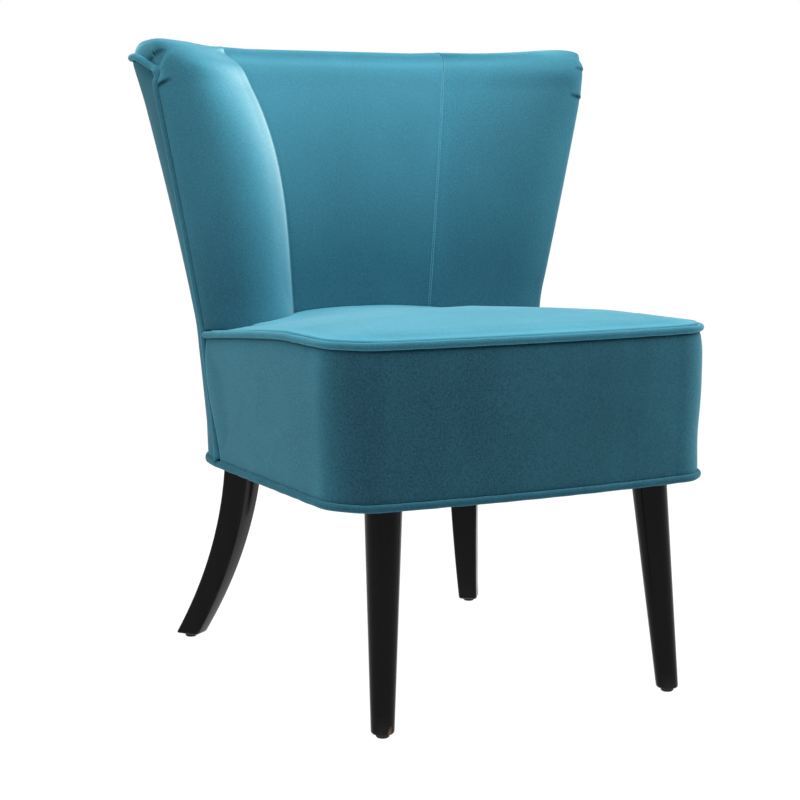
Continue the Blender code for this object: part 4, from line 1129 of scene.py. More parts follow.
@dataclass
class Cover:
    """One sewn cover: a grid of points that cloth and pressure fill out between its seams."""

    name: str
    grid: np.ndarray
    stands_for: tuple[str, ...]
    wrap: bool = False
    thickness: float = 0.004
    swell: float = 0.004
    pressure: float = 4.0
    tuck: float = 0.0006
    tuck_run: float = 0.003
    times: int = 2
    # Painted sheen and painted light: foot_share keeps part of both at a cover's foot, top_share part of the
    # sheen where it faces up, outer_share part of the sheen near its outer edge; the edge share adds painted
    # light along the seams.
    nap: float = 0.6
    lay: float = 0.7
    foot_share: float = 1.0
    top_share: float = 1.0
    outer_share: float = 1.0
    outer_run: float = 0.085
    outer_last: bool = True
    edge_lay: float = 0.0
    edge_lay_run: float = 0.030
    # dark sets the painted shade along the first row, last row, first column and last column.
    dark: tuple[float, float, float, float] = (0.45, 0.45, 0.45, 0.45)
    firmness: int = 60
    fill: float = 0.8
    pleats: Sequence[Pleat] = ()
    root_y: float = 0.0

    def sheet(self) -> bpy.types.Object:
        """Make the cover's outer face as an open mesh.

        Returns:
            The open mesh.
        """
        rows, columns = self.grid.shape[:2]
        points = self.grid.reshape(-1, 3)
        faces = grid_faces(rows, columns, self.wrap)
        if self.wrap:
            middle = len(points)
            points = np.vstack((points, self.middle[None]))
            last = (rows - 1) * columns
            faces += [(last + j, last + (j + 1) % columns, middle) for j in range(columns)]
        return new_object(self.name, points, faces)

    @property
    def middle(self) -> np.ndarray:
        """Give the point that closes a wrapped cover."""
        return self.grid[-1].mean(axis=0)

    def runs(self) -> tuple[np.ndarray, np.ndarray]:
        """Give each point's run up the cover and across it, measured over the cover."""
        up = np.cumsum(np.linalg.norm(np.diff(self.grid, axis=0, prepend=self.grid[:1]), axis=2), axis=0)
        steps = np.diff(self.grid, axis=1, prepend=self.grid[:, :1])
        across = np.cumsum(np.linalg.norm(steps, axis=2), axis=1)
        return up, across

    def edge_distance(self) -> np.ndarray:
        """Give each point's distance from the nearest seam, measured over the cover."""
        up, across = self.runs()
        if self.wrap:
            return np.r_[up.ravel(), up.max()]
        near = np.minimum(np.minimum(up, up[-1:] - up), np.minimum(across, across[:, -1:] - across))
        return near.ravel()

    def shaded(self) -> np.ndarray:
        """Give the painted shade of each point in the folds along the first and last row and column."""
        up, across = self.runs()
        sides = (up,) if self.wrap else (up, up[-1:] - up, across, across[:, -1:] - across)
        crease = np.zeros(up.shape)
        for dark, side in zip(self.dark, sides):
            crease = np.maximum(crease, dark * (1.0 - smoothstep(side, 0.0, self.tuck_run * 0.6)))
        return np.r_[crease.ravel(), 0.0] if self.wrap else crease.ravel()

    def painted_light_by_height(self, points: np.ndarray) -> np.ndarray:
        """Give the share of painted light and painted sheen kept at each point: painted shade darkens the
        cover toward its foot.
        """
        low, high = points[:, 2].min(), points[:, 2].max()
        return self.foot_share + (1 - self.foot_share) * smoothstep(points[:, 2], low, 0.4 * low + 0.6 * high)

    def refine(self, piece: bpy.types.Object) -> None:
        """Take the filled-out shape back into the grid, with more points between.

        Args:
            piece: The open mesh, which is removed.
        """
        rows, columns = self.grid.shape[:2]
        points = coordinates(piece.data)
        grid = points[:rows * columns].reshape(rows, columns, 3)
        if self.wrap:
            grid = np.vstack((grid, np.broadcast_to(points[-1], (1, columns, 3))))
            grid = np.concatenate((grid[:, -3:], grid, grid[:, :4]), axis=1)
        grid = finer(finer(grid, self.times).swapaxes(0, 1), self.times).swapaxes(0, 1)
        if self.wrap:
            grid = grid[:-self.times, 3 * self.times:(3 + columns) * self.times]
        self.grid = grid
        bpy.data.meshes.remove(piece.data)

    def inflate(self, piece: bpy.types.Object, distance: np.ndarray) -> None:
        """Fill the cover out with cloth under pressure, held along its seams.

        Args:
            piece: Open mesh to fill out.
            distance: Distance of each point from the nearest seam.
        """
        rest = coordinates(piece.data)
        start = rest - normals(piece.data) * (self.swell * smoothstep(distance, 0.0, 0.06))[:, None]
        put_coordinates(piece, start)
        moved = start + normals(piece.data) * (self.swell * smoothstep(distance, 0.0, 0.05))[:, None]
        pins = piece.vertex_groups.new(name="seams")
        pins.add([int(i) for i in np.flatnonzero(distance < 1e-6)], 1.0, "REPLACE")
        cloth = piece.modifiers.new("cloth", "CLOTH")
        cloth.settings.vertex_group_mass = "seams"
        cloth.settings.quality = 4
        cloth.settings.mass = 0.3
        cloth.settings.tension_stiffness = 30.0
        cloth.settings.compression_stiffness = 30.0
        cloth.settings.bending_stiffness = 8.0
        cloth.settings.use_pressure = True
        cloth.settings.uniform_pressure_force = self.pressure
        cloth.settings.effector_weights.gravity = 0.0
        cloth.collision_settings.use_collision = False
        cloth.point_cache.frame_start = 1
        cloth.point_cache.frame_end = 20
        scene = bpy.context.scene
        for number in range(1, 21):
            scene.frame_set(number)
        graph = bpy.context.evaluated_depsgraph_get()
        held = piece.evaluated_get(graph)
        made = coordinates(held.data)
        piece.modifiers.clear()
        piece.vertex_groups.clear()
        scene.frame_set(1)
        out = normals(piece.data)
        push = self.evened(np.einsum("ij,ij->i", made - start, out))
        cap = 2 * self.swell
        LOG.info("%s swelled by up to %.1f mm before its cap", self.name, push.max() * 1000)
        moved = start + out * (np.tanh(push / cap) * cap)[:, None]
        put_coordinates(piece, moved)

    def evened(self, push: np.ndarray) -> np.ndarray:
        """Spread a lift over its neighbours, as firm foam under the cover does.

        Args:
            push: Lift of each point.

        Returns:
            The evened lift, still nothing along the seams.
        """
        rows, columns = self.grid.shape[:2]
        field_ = push[:rows * columns].reshape(rows, columns).copy()
        for _ in range(self.firmness):
            wide = np.pad(field_, ((0, 0), (1, 1)), mode="wrap" if self.wrap else "edge")
            tall = np.pad(field_, ((1, 1), (0, 0)), mode="edge")
            mean = (wide[:, :-2] + wide[:, 2:] + tall[:-2] + tall[2:]) / 4
            if self.wrap:
                field_[1:] = mean[1:]
                field_[-1] = field_[-1].mean()
            else:
                field_[1:-1, 1:-1] = mean[1:-1, 1:-1]
        return np.r_[field_.ravel(), field_[-1].mean()] if self.wrap else field_.ravel()

    def build(self, palette: Palette) -> bpy.types.Object:
        """Make the finished cover.

        Args:
            palette: Finishes to dress it with.

        Returns:
            The padded piece.
        """
        piece = self.sheet()
        self.inflate(piece, self.edge_distance())
        self.refine(piece)
        piece = self.sheet()
        distance = self.edge_distance()
        points = coordinates(piece.data)
        out = normals(piece.data)
        # Painted shade along the seams and pleat lines, stored for the velvet.
        crease = self.shaded()
        points -= out * (self.tuck * (1.0 - smoothstep(distance, 0.0, self.tuck_run)))[:, None]
        for pleat in self.pleats:
            push, dark = pleat.fold(points, out, self.root_y)
            points += out * push[:, None]
            crease = np.maximum(crease, dark)
        put_coordinates(piece, points)
        put_attribute(piece, "crease", crease)
        # Painted sheen strength and painted light, both less toward the foot; painted light is also added
        # along the seams.
        painted_light_by_height = self.painted_light_by_height(points)
        nap = self.nap * painted_light_by_height * (1 - (1 - self.top_share) * smoothstep(out[:, 2], 0.25, 0.8))
        if self.outer_share < 1.0:
            across = self.runs()[1]
            side = across[:, -1:] - across if self.outer_last else across
            share = self.outer_share + (1 - self.outer_share) * smoothstep(side, 0.02, self.outer_run)
            nap = nap * share.ravel()
        put_attribute(piece, "nap", nap)
        edge = self.edge_lay * (1.0 - smoothstep(distance, 0.0, self.edge_lay_run))
        put_attribute(piece, "lay", self.lay * painted_light_by_height + edge)
        shell = piece.modifiers.new("thickness", "SOLIDIFY")
        shell.thickness = self.thickness
        shell.offset = -1.0
        apply_modifiers(piece)
        palette.dress(piece, Slot.VELVET)
        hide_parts(*self.stands_for)
        return piece


@dataclass
class Topstitch:
    """Rows of stitches that hold a seam down on each side of it."""

    set_in: float = 0.0027
    pitch: float = 0.0042
    radius: float = 0.00040
    bend: tuple[tuple[float, float], ...] = (
        (-0.0018, -0.0005), (-0.0014, 0.0), (-0.0007, 0.0002), (0.0, 0.00025),
        (0.0007, 0.0002), (0.0014, 0.0), (0.0018, -0.0005))

    def row(self, cover: Cover, last: bool) -> tuple[np.ndarray, np.ndarray, np.ndarray]:
        """Find the stitches of a row beside one edge of a cover.

        Args:
            cover: Finished cover.
            last: Whether the edge is its last column.

        Returns:
            Middle, direction and outward direction of each stitch.
        """
        grid = cover.grid[:, ::-1] if last else cover.grid
        near = grid[:, :6]
        run = np.cumsum(np.linalg.norm(np.diff(near, axis=1, prepend=near[:, :1]), axis=2), axis=1)
        line = np.array([[np.interp(self.set_in, r, p[:, k]) for k in range(3)] for r, p in zip(run, near)])
        up = np.gradient(line, axis=0)
        out = np.cross(near[:, 5] - near[:, 0], up) * (-1.0 if last else 1.0)
        knots = along(line)
        goals = np.arange(self.pitch, knots[-1] - self.pitch, self.pitch)
        spots, ways, outs = (hermite(values, knots, goals) for values in (line, up, out))
        ways /= np.linalg.norm(ways, axis=1)[:, None]
        outs -= ways * np.einsum("ij,ij->i", outs, ways)[:, None]
        return spots, ways, outs / np.linalg.norm(outs, axis=1)[:, None]

    def build(self, palette: Palette, side: Side, edges: Sequence[tuple[Cover, bool]]) -> bpy.types.Object:
        """Sew the rows on both sides of a seam.

        Args:
            palette: Finishes to dress the thread with.
            side: Which seam.
            edges: The covers that meet there, and whether each meets it with its last column.

        Returns:
            The stitches.
        """
        rows = (self.row(cover, last) for cover, last in edges)
        spots, ways, outs = (np.vstack(part) for part in zip(*rows))
        made = short_wires(f"back_topstitch_{side.word}", spots, ways, outs, np.array(self.bend), self.radius)
        return palette.dress(made, Slot.VELVET, palette.thread)


@dataclass
class SeatCushion:
    """The crowned top of the seat and the band round it."""

    lines: ChairLines
    step: float = 0.006
    edge_roll: float = 0.0055
    edge_run: float = 0.030
    edge_lift: float = 0.0018
    edge_overlap: float = 0.0013
    back_gap: float = 0.0010
    bulge: float = 0.006
    rings: int = 34
    beside_wing: float = 0.80
    beside_start_y: float = -0.15
    foot_lap: float = 0.0022
    under_wing: float = 0.02

    def middle(self) -> np.ndarray:
        """Give the plan point that the seat's rings close in on."""
        return np.array((0.0, (self.lines.seat_front_y + self.lines.edge_y_seat) / 2))

    def outline(self) -> np.ndarray:
        """Draw the seat in plan: front and sides beside the piping, the rear under the inside back.

        Returns:
            Plan points, one a row, evenly spaced.
        """
        lines = self.lines
        foot = lines.wing_foot()
        wing = np.array([lines.wing_line(z)[i] for i, z in enumerate(foot)])
        run = np.gradient(wing, axis=0)
        run /= np.linalg.norm(run, axis=1)[:, None]
        wing = wing + np.c_[run[:, 1], -run[:, 0]] * self.back_gap
        wing = wing[1:int(np.argmin(wing[:, 1])) + 1]
        end_y = lines.edge_y(lines.high_piping_z - lines.seat_fall) - lines.piping_side + self.edge_overlap
        front = lines.front_line(end_y, lines.piping_side - self.edge_overlap)
        seen = wing - self.middle()
        end = np.abs(front[0]) * (1, 0) + (0, end_y - self.middle()[1])
        wing = wing[np.arctan2(seen[:, 1], seen[:, 0]) > math.atan2(end[1], end[0]) + self.under_wing]
        middle = lines.centre_line(foot[0])[1:-1] - (0.0, self.back_gap)
        loop = np.vstack((front, wing[::-1] * (-1.0, 1.0), middle, wing, front[:1]))
        knots = along(loop)
        count = int(round(knots[-1] / self.step))
        goals = np.linspace(0.0, knots[-1], count, endpoint=False)
        return np.c_[np.interp(goals, knots, loop[:, 0]), np.interp(goals, knots, loop[:, 1])]

    def height(self, points: np.ndarray) -> np.ndarray:
        """Give the height of the seat over plan points.

        Args:
            points: Plan points, one a row.

        Returns:
            One height a point.
        """
        lines = self.lines
        edge = lines.seat_reach(points)
        flat = self.beside_wing * smoothstep(points[:, 1], self.beside_start_y, lines.edge_y_seat - 0.02)
        share = np.minimum(edge / lines.crown_run, 1.0)
        crown = (1 - flat) * (1 - (1 - share) ** 2) + flat * share ** 2 * (3 - 2 * share)
        rise = (lines.seat_crown - self.edge_roll) * crown
        rise += self.edge_roll * (1 - flat) * (1 - (1 - np.minimum(edge / self.edge_run, 1.0)) ** 2)
        return lines.high_piping_z + self.edge_lift * (1 - 0.6 * flat) + rise - lines.seat_drop(points)

    def top(self) -> Cover:
        """Lay out the crowned top cover."""
        outline = self.outline()
        lines = self.lines
        middle = self.middle()
        shares = np.linspace(0.0, 1.0, self.rings, endpoint=False) ** 1.15
        rows = []
        for share in shares:
            ring = outline + (middle - outline) * share
            rows.append(lines.place(ring, self.height(ring)))
        # Painted sheen, painted light that is stronger along the seams, and a little painted shade at the
        # rim.
        return Cover("seat_cushion_top", np.array(rows), ("seat_top_cover", "seat_foam"), wrap=True,
                     swell=0.003, nap=0.55, lay=0.75, edge_lay=0.6, tuck=0.0004, tuck_run=0.003,
                     thickness=0.004, dark=(0.05, 0.0, 0.0, 0.0))

    def band(self) -> Cover:
        """Lay out the boxing between the two pipings."""
        lines = self.lines
        rows = []
        for share in np.linspace(0.0, 1.0, 9):
            bulge = self.bulge * 6.75 * share ** 2 * (1 - share)
            low = lines.boxing_bottom_z - self.foot_lap * (1 - share)
            end = low + (lines.boxing_height - lines.seat_fall) * share
            plan = lines.front_line(lines.edge_y(end) - lines.piping_side, -bulge)
            height = lines.boxing_height - lines.side_fall(plan[:, 1])
            rows.append(lines.place(plan, low + height * share))
        grid = even_grid(np.array(rows), self.step)
        # The band takes painted sheen but no painted light, and painted shade along its edges.
        return Cover("seat_boxing_band", grid[:, ::-1], ("seat_boxing",), swell=0.003, tuck=0.0010,
                     tuck_run=0.005, nap=0.55, lay=0.0)

    def build(self, palette: Palette) -> list[bpy.types.Object]:
        """Make the seat's covers."""
        return [self.top().build(palette), self.band().build(palette)]


@dataclass
class BackUpholstery:
    """The inside back, the two wings and the outside back."""

    lines: ChairLines
    step: float = 0.006
    levels: int = 12
    foot_tuck: float = 0.004
    dome: float = 0.0060
    dome_start: float = 0.55
    # seam_dark is the painted shade along the inside back seams.
    seam_dark: float = 0.15
    roll: tuple[tuple[float, float], ...] = (
        (0.05, 0.45), (0.18, 0.12), (0.42, 0.0), (0.64, 0.06), (0.82, 0.25), (0.93, 0.55), (1.0, 1.0))
    roll_inset: float = 0.0020
    roll_seat: float = -0.001
    seam_lap: float = 0.0012
    foot_lap: float = 0.0022
    crest: float = 0.4
    round_reach: float = 0.075
    round_passes: int = 22
    draw_reach: float = 0.045
    draw_shares: tuple[float, ...] = (1.0, 0.75, 0.5, 0.3, 0.15, 0.05)
    left_pleats: tuple[Pleat, ...] = (
        Pleat((-0.3046, 0.0825, 0.7711), (-0.3100, 0.0566, 0.7799), (-0.3038, 0.0257, 0.7856)),
        Pleat((-0.3102, 0.0433, 0.7415), (-0.3062, 0.0295, 0.7464), (-0.3002, 0.0210, 0.7502)))
    right_pleats: tuple[Pleat, ...] = (
        Pleat((0.3054, 0.0230, 0.7713), (0.2937, 0.0153, 0.7740), (0.2848, 0.0149, 0.7757)),
        Pleat((0.3019, 0.0265, 0.7332), (0.2896, 0.0161, 0.7355), (0.2762, 0.0122, 0.7387)),
        Pleat((0.3046, 0.0825, 0.7711), (0.3100, 0.0566, 0.7799), (0.3060, 0.0380, 0.7830)))

    def rising(self, line: Callable[[float], np.ndarray]) -> list[np.ndarray]:
        """Carry a plan line from beside the seat up to where the face rolls over.

        Args:
            line: Plan line at a height.

        Returns:
            Rows of points in space.
        """
        lines = self.lines
        start = line(lines.back_soft_z)
        tuck = self.foot_tuck * smoothstep(lines.seat_reach(start), 0.008, 0.024)
        foot = lines.back_soft_z - lines.seat_drop(start) - tuck
        rows = []
        for share in np.linspace(0.0, 1.0, self.levels):
            z = foot + (lines.face_top_z - foot) * share
            rows.append(lines.place(np.array([line(h)[i] for i, h in enumerate(z)]), z))
        return rows

    def rolled(self, face: np.ndarray, rear: np.ndarray, ease: np.ndarray,
               lift: np.ndarray) -> list[np.ndarray]:
        """Carry a cover from its face over the top of the back to the piping behind.

        Args:
            face: Plan line of the face at the top.
            rear: Plan line behind the top.
            ease: Share of the roll that each column loses.
            lift: How far each column's roll stands above the top of the back.

        Returns:
            Rows of points in space.
        """
        lines = self.lines
        rear_z = lines.top_piping_z + self.roll_seat
        rows = []
        for share, drop in self.roll:
            low = lines.face_top_z if share < self.crest else rear_z
            top = lines.back_top_z + lift
            full = top + (low - top) * drop
            straight = lines.face_top_z + (rear_z - lines.face_top_z) * share
            rows.append(lines.place(face + (rear - face) * share, full + (straight - full) * ease))
        return rows

    def centre(self) -> Cover:
        """Lay out the middle panel of the inside back."""
        lines = self.lines
        rows = self.rising(lines.centre_line)
        face = lines.centre_line(lines.back_top_z)
        rear = self.behind(face[:, 0])
        rows += self.rolled(face, rear, np.zeros(len(face)), np.zeros(len(face)))
        grid = even_grid(np.array(rows), self.step)
        grid[:, 0] += (-self.seam_lap, 0.5 * self.seam_lap, 0.0)
        grid[:, -1] += (self.seam_lap, 0.5 * self.seam_lap, 0.0)
        # Painted light and painted sheen, both less toward the foot and the sheen less where the panel faces
        # up; painted shade along its edges and seams.
        return Cover("inside_back_panel", grid, ("inside_back_cover", "back_centre_foam"), swell=0.002,
                     fill=0.7, times=3, tuck=0.0002, lay=0.9,
                     dark=(0.3, 0.3, self.seam_dark, self.seam_dark), foot_share=0.52, top_share=0.6)

    def behind(self, x: np.ndarray) -> np.ndarray:
        """Give the points of the rear outline at the top that lie straight behind given X values."""
        lines = self.lines
        turns = np.linspace(0.0, math.pi, 1201)
        fine = np.array([lines.rear_point(lines.top_piping_z, t, self.roll_inset) for t in turns])
        y = np.interp(x, fine[::-1, 0], fine[::-1, 1])
        return np.c_[x, y]

    def wing(self, side: Side) -> Cover:
        """Lay out a wing from its seam, round the nose, to the outside back piping.

        Args:
            side: Which wing.

        Returns:
            The cover.
        """
        lines = self.lines
        rows = self.rising(lines.wing_line)
        face = lines.wing_line(lines.back_top_z)
        count = len(face) - 1
        line = lines.rear_line(lines.top_piping_z, lines.piping_side, self.roll_inset, steps=800)
        first = int(np.argmin(np.abs(line[:401, 0] - face[0, 0])))
        rear = line[np.linspace(first, 0, count + 1).round().astype(int)]
        share = np.arange(count + 1) / count
        past = np.maximum(share - self.dome_start, 0.0) / (1 - self.dome_start)
        rows += self.rolled(face, rear, 1 - np.sqrt(1 - past ** 2), self.dome * smoothstep(share, 0.2, 0.7))
        grid = even_grid(np.array(rows), self.step)
        grid[:, 0] += (-self.seam_lap, 0.5 * self.seam_lap, 0.0)
        if side is Side.LEFT:
            grid = mirrored(grid)
        names = (f"wing_cover_{side.word}", f"wing_foam_{side.word}")
        last = side is Side.RIGHT
        pleats = self.right_pleats if last else self.left_pleats
        dark = (0.3, 0.45, self.seam_dark, 0.45) if last else (0.3, 0.45, 0.45, self.seam_dark)
        grid = self.drawn(lines.eased(self.rounded(grid)))
        # Strong painted sheen, less toward the foot, where the wing faces up and near its outer edge; painted
        # light, and painted shade along its edges and seam.
        return Cover(f"wing_pad_{side.word}", grid, names, swell=0.002, fill=0.75, times=3, tuck=0.0002,
                     nap=1.3, lay=0.62, foot_share=0.55, top_share=0.4, outer_share=0.3, outer_last=last,
                     dark=dark, pleats=pleats, root_y=lines.root_y)

    def rounded(self, grid: np.ndarray) -> np.ndarray:
        """Round off the top corner of a wing.

        Args:
            grid: Points of the wing.

        Returns:
            The points, with those near the corner smoothed.
        """
        lines = self.lines
        z = lines.back_top_z
        x = math.copysign(lines.edge_x(z), grid[..., 0].mean())
        corner = np.array((x, lines.edge_y(z) + lines.root_y, z))
        hold = 1 - smoothstep(np.linalg.norm(grid - corner, axis=2), 0.4 * self.round_reach, self.round_reach)
        hold = hold[1:-1, 1:-1, None]
        for _ in range(self.round_passes):
            mean = (grid[:-2, 1:-1] + grid[2:, 1:-1] + grid[1:-1, :-2] + grid[1:-1, 2:]) / 4
            grid[1:-1, 1:-1] += hold * 0.6 * (mean - grid[1:-1, 1:-1])
        return grid

    def drawn(self, grid: np.ndarray) -> np.ndarray:
        """Draw the edges of a cover up to the piping where it bends at the top corners.

        Args:
            grid: Points of the cover.

        Returns:
            The points, with those near the bends moved.
        """
        lines = self.lines
        path = PipingSet(lines).edge()
        z = lines.top_piping_z
        corner = lines.eased(np.array((lines.edge_x(z), lines.edge_y(z) + lines.root_y, z)))
        shift = np.zeros_like(grid)
        sides, moves = grid.swapaxes(0, 1), shift.swapaxes(0, 1)
        for strips, moved in ((grid[::-1], shift[::-1]), (sides, moves), (sides[::-1], moves[::-1])):
            edge = strips[0]
            gaps = path[None] - edge[:, None]
            spans = np.linalg.norm(gaps, axis=2)
            near = spans.argmin(axis=1)
            rows = np.arange(len(edge))
            span = spans[rows, near]
            off = np.linalg.norm(np.abs(edge) * (1, 0, 0) + edge * (0, 1, 1) - corner, axis=1)
            hold = 1 - smoothstep(off, 0.5 * self.draw_reach, self.draw_reach)
            share = hold * np.maximum(span - 0.5 * lines.piping_radius, 0.0) / np.maximum(span, 1e-6)
            pull = gaps[rows, near] * share[:, None]
            for strip, part in zip(moved, self.draw_shares):
                more = np.linalg.norm(pull * part, axis=1) > np.linalg.norm(strip, axis=1)
                strip[more] = pull[more] * part
        return grid + shift

    def outside(self) -> Cover:
        """Lay out the outside back from the lower piping to the piping behind the top."""
        lines = self.lines
        top = lines.top_piping_z - lines.piping_side
        rows = []
        for z in np.linspace(lines.boxing_bottom_z - self.foot_lap, top, 16):
            rows.append(lines.place(lines.rear_line(z, lines.piping_side), z))
        grid = self.drawn(lines.eased(even_grid(np.array(rows), self.step * 1.3)))
        # Faint painted sheen, some painted light, and painted shade along its edges.
        return Cover("outside_back_cover", grid, ("outside_back_panel",), swell=0.002, fill=0.5, nap=0.16,
                     lay=0.30)

    def build(self, palette: Palette) -> list[bpy.types.Object]:
        """Make the back's covers."""
        centre, left, right = self.centre(), self.wing(Side.LEFT), self.wing(Side.RIGHT)
        made = [cover.build(palette) for cover in (centre, left, right, self.outside())]
        stitches = Topstitch()
        made.append(stitches.build(palette, Side.LEFT, ((centre, False), (left, True))))
        made.append(stitches.build(palette, Side.RIGHT, ((centre, True), (right, False))))
        return made


@dataclass
class PipingSet:
    """The three runs of self-covered piping."""

    lines: ChairLines
    step: float = 0.004
    waver: float = 0.0003
    knob: float = 0.35
    knob_run: float = 0.007

    def cord(self, name: str, path: np.ndarray, node_name: str, palette: Palette, closed: bool = False,
             knobs: Sequence[np.ndarray] = (), nap: float = 0.5, lay: float = 0.5) -> bpy.types.Object:
        """Make one run of piping.

        Args:
            name: Name of the piece.
            path: Points along its middle.
            node_name: Node that it stands for.
            palette: Finishes to dress it with.
            closed: Whether its end joins its start.
            knobs: Points where a folded end makes it thicker.
            nap: Strength of the painted sheen in its colour where it is seen at a slant.
            lay: Share of painted light in its colour.

        Returns:
            The piping.
        """
        if closed:
            path = np.vstack((path, path[:1]))
        path = even(path, self.step)
        if closed:
            path = path[:-1]
        radius = self.lines.piping_radius * (1 + 0.04 * wander(path, 0.035, 2.0))
        for spot in knobs:
            radius *= 1 + self.knob * np.exp(-(np.linalg.norm(path - spot, axis=1) / self.knob_run) ** 2)
        drift = np.c_[wander(path, 0.05, 1.0), wander(path, 0.06, 3.0), wander(path, 0.045, 5.0)]
        path = path + self.waver * drift
        piece = sweep(name, path, radius, closed=closed)
        # Painted sheen and painted light at set shares, with no painted shade.
        put_attribute(piece, "crease", np.zeros(len(piece.data.vertices)))
        put_attribute(piece, "nap", np.full(len(piece.data.vertices), nap))
        put_attribute(piece, "lay", np.full(len(piece.data.vertices), lay))
        palette.dress(piece, Slot.VELVET)
        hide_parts(node_name)
        return piece

    def edge(self) -> np.ndarray:
        """Draw the run up both edges of the outside back and along its top.

        Returns:
            Points from the right foot to the left foot.
        """
        lines = self.lines
        bend = 2 * lines.piping_radius
        low = lines.boxing_bottom_z + 0.0016
        top = lines.top_piping_z
        heights = np.r_[np.linspace(low, lines.boxing_top_z, 6),
                        np.linspace(lines.boxing_top_z, top - bend, 16)[1:]]
        right = [np.array((lines.edge_x(z), lines.edge_y(z), z)) for z in heights]
        for swing in np.linspace(0.0, math.pi / 2, 5)[1:]:
            right.append(np.array((lines.edge_x(top), lines.edge_y(top) + bend * (1 - math.cos(swing)),
                                   top - bend * (1 - math.sin(swing)))))
        right = np.array(right)
        across = lines.rear_line(top, 2 * bend, steps=60)
        line = np.vstack((right, np.c_[across, np.full(len(across), top)], right[::-1] * (-1.0, 1.0, 1.0)))
        return lines.eased(even(line + (0.0, lines.root_y, 0.0), self.step))

    def build(self, palette: Palette) -> list[bpy.types.Object]:
        """Make the three runs of piping."""
        lines = self.lines
        end_z = lines.high_piping_z - lines.seat_fall - lines.piping_radius
        plan = lines.front_line(lines.edge_y(end_z) - lines.piping_side, 0.0)
        top = lines.place(plan, lines.high_piping_z - lines.side_fall(plan[:, 1]))
        rear = lines.rear_line(lines.low_piping_z, 0.004, steps=96)
        loop = np.vstack((lines.front_line(lines.edge_y_low, 0.0), rear[::-1]))
        low = lines.place(loop, lines.low_piping_z)
        edge = self.edge()
        top_z = lines.top_piping_z
        corner = lines.eased(np.array((lines.edge_x(top_z), lines.edge_y(top_z) + lines.root_y, top_z)))
        knobs = (edge[0], edge[-1], corner, corner * (-1.0, 1.0, 1.0))
        return [
            self.cord("seat_piping_upper", top, "seat_top_piping", palette),
            # The lower piping takes less painted sheen and painted light, so it reads darker.
            self.cord("seat_piping_lower", low, "seat_bottom_piping", palette, closed=True, nap=0.3, lay=0.1),
            self.cord("back_piping", edge, "outside_back_piping", palette, knobs=knobs),
        ]


# Hard pieces


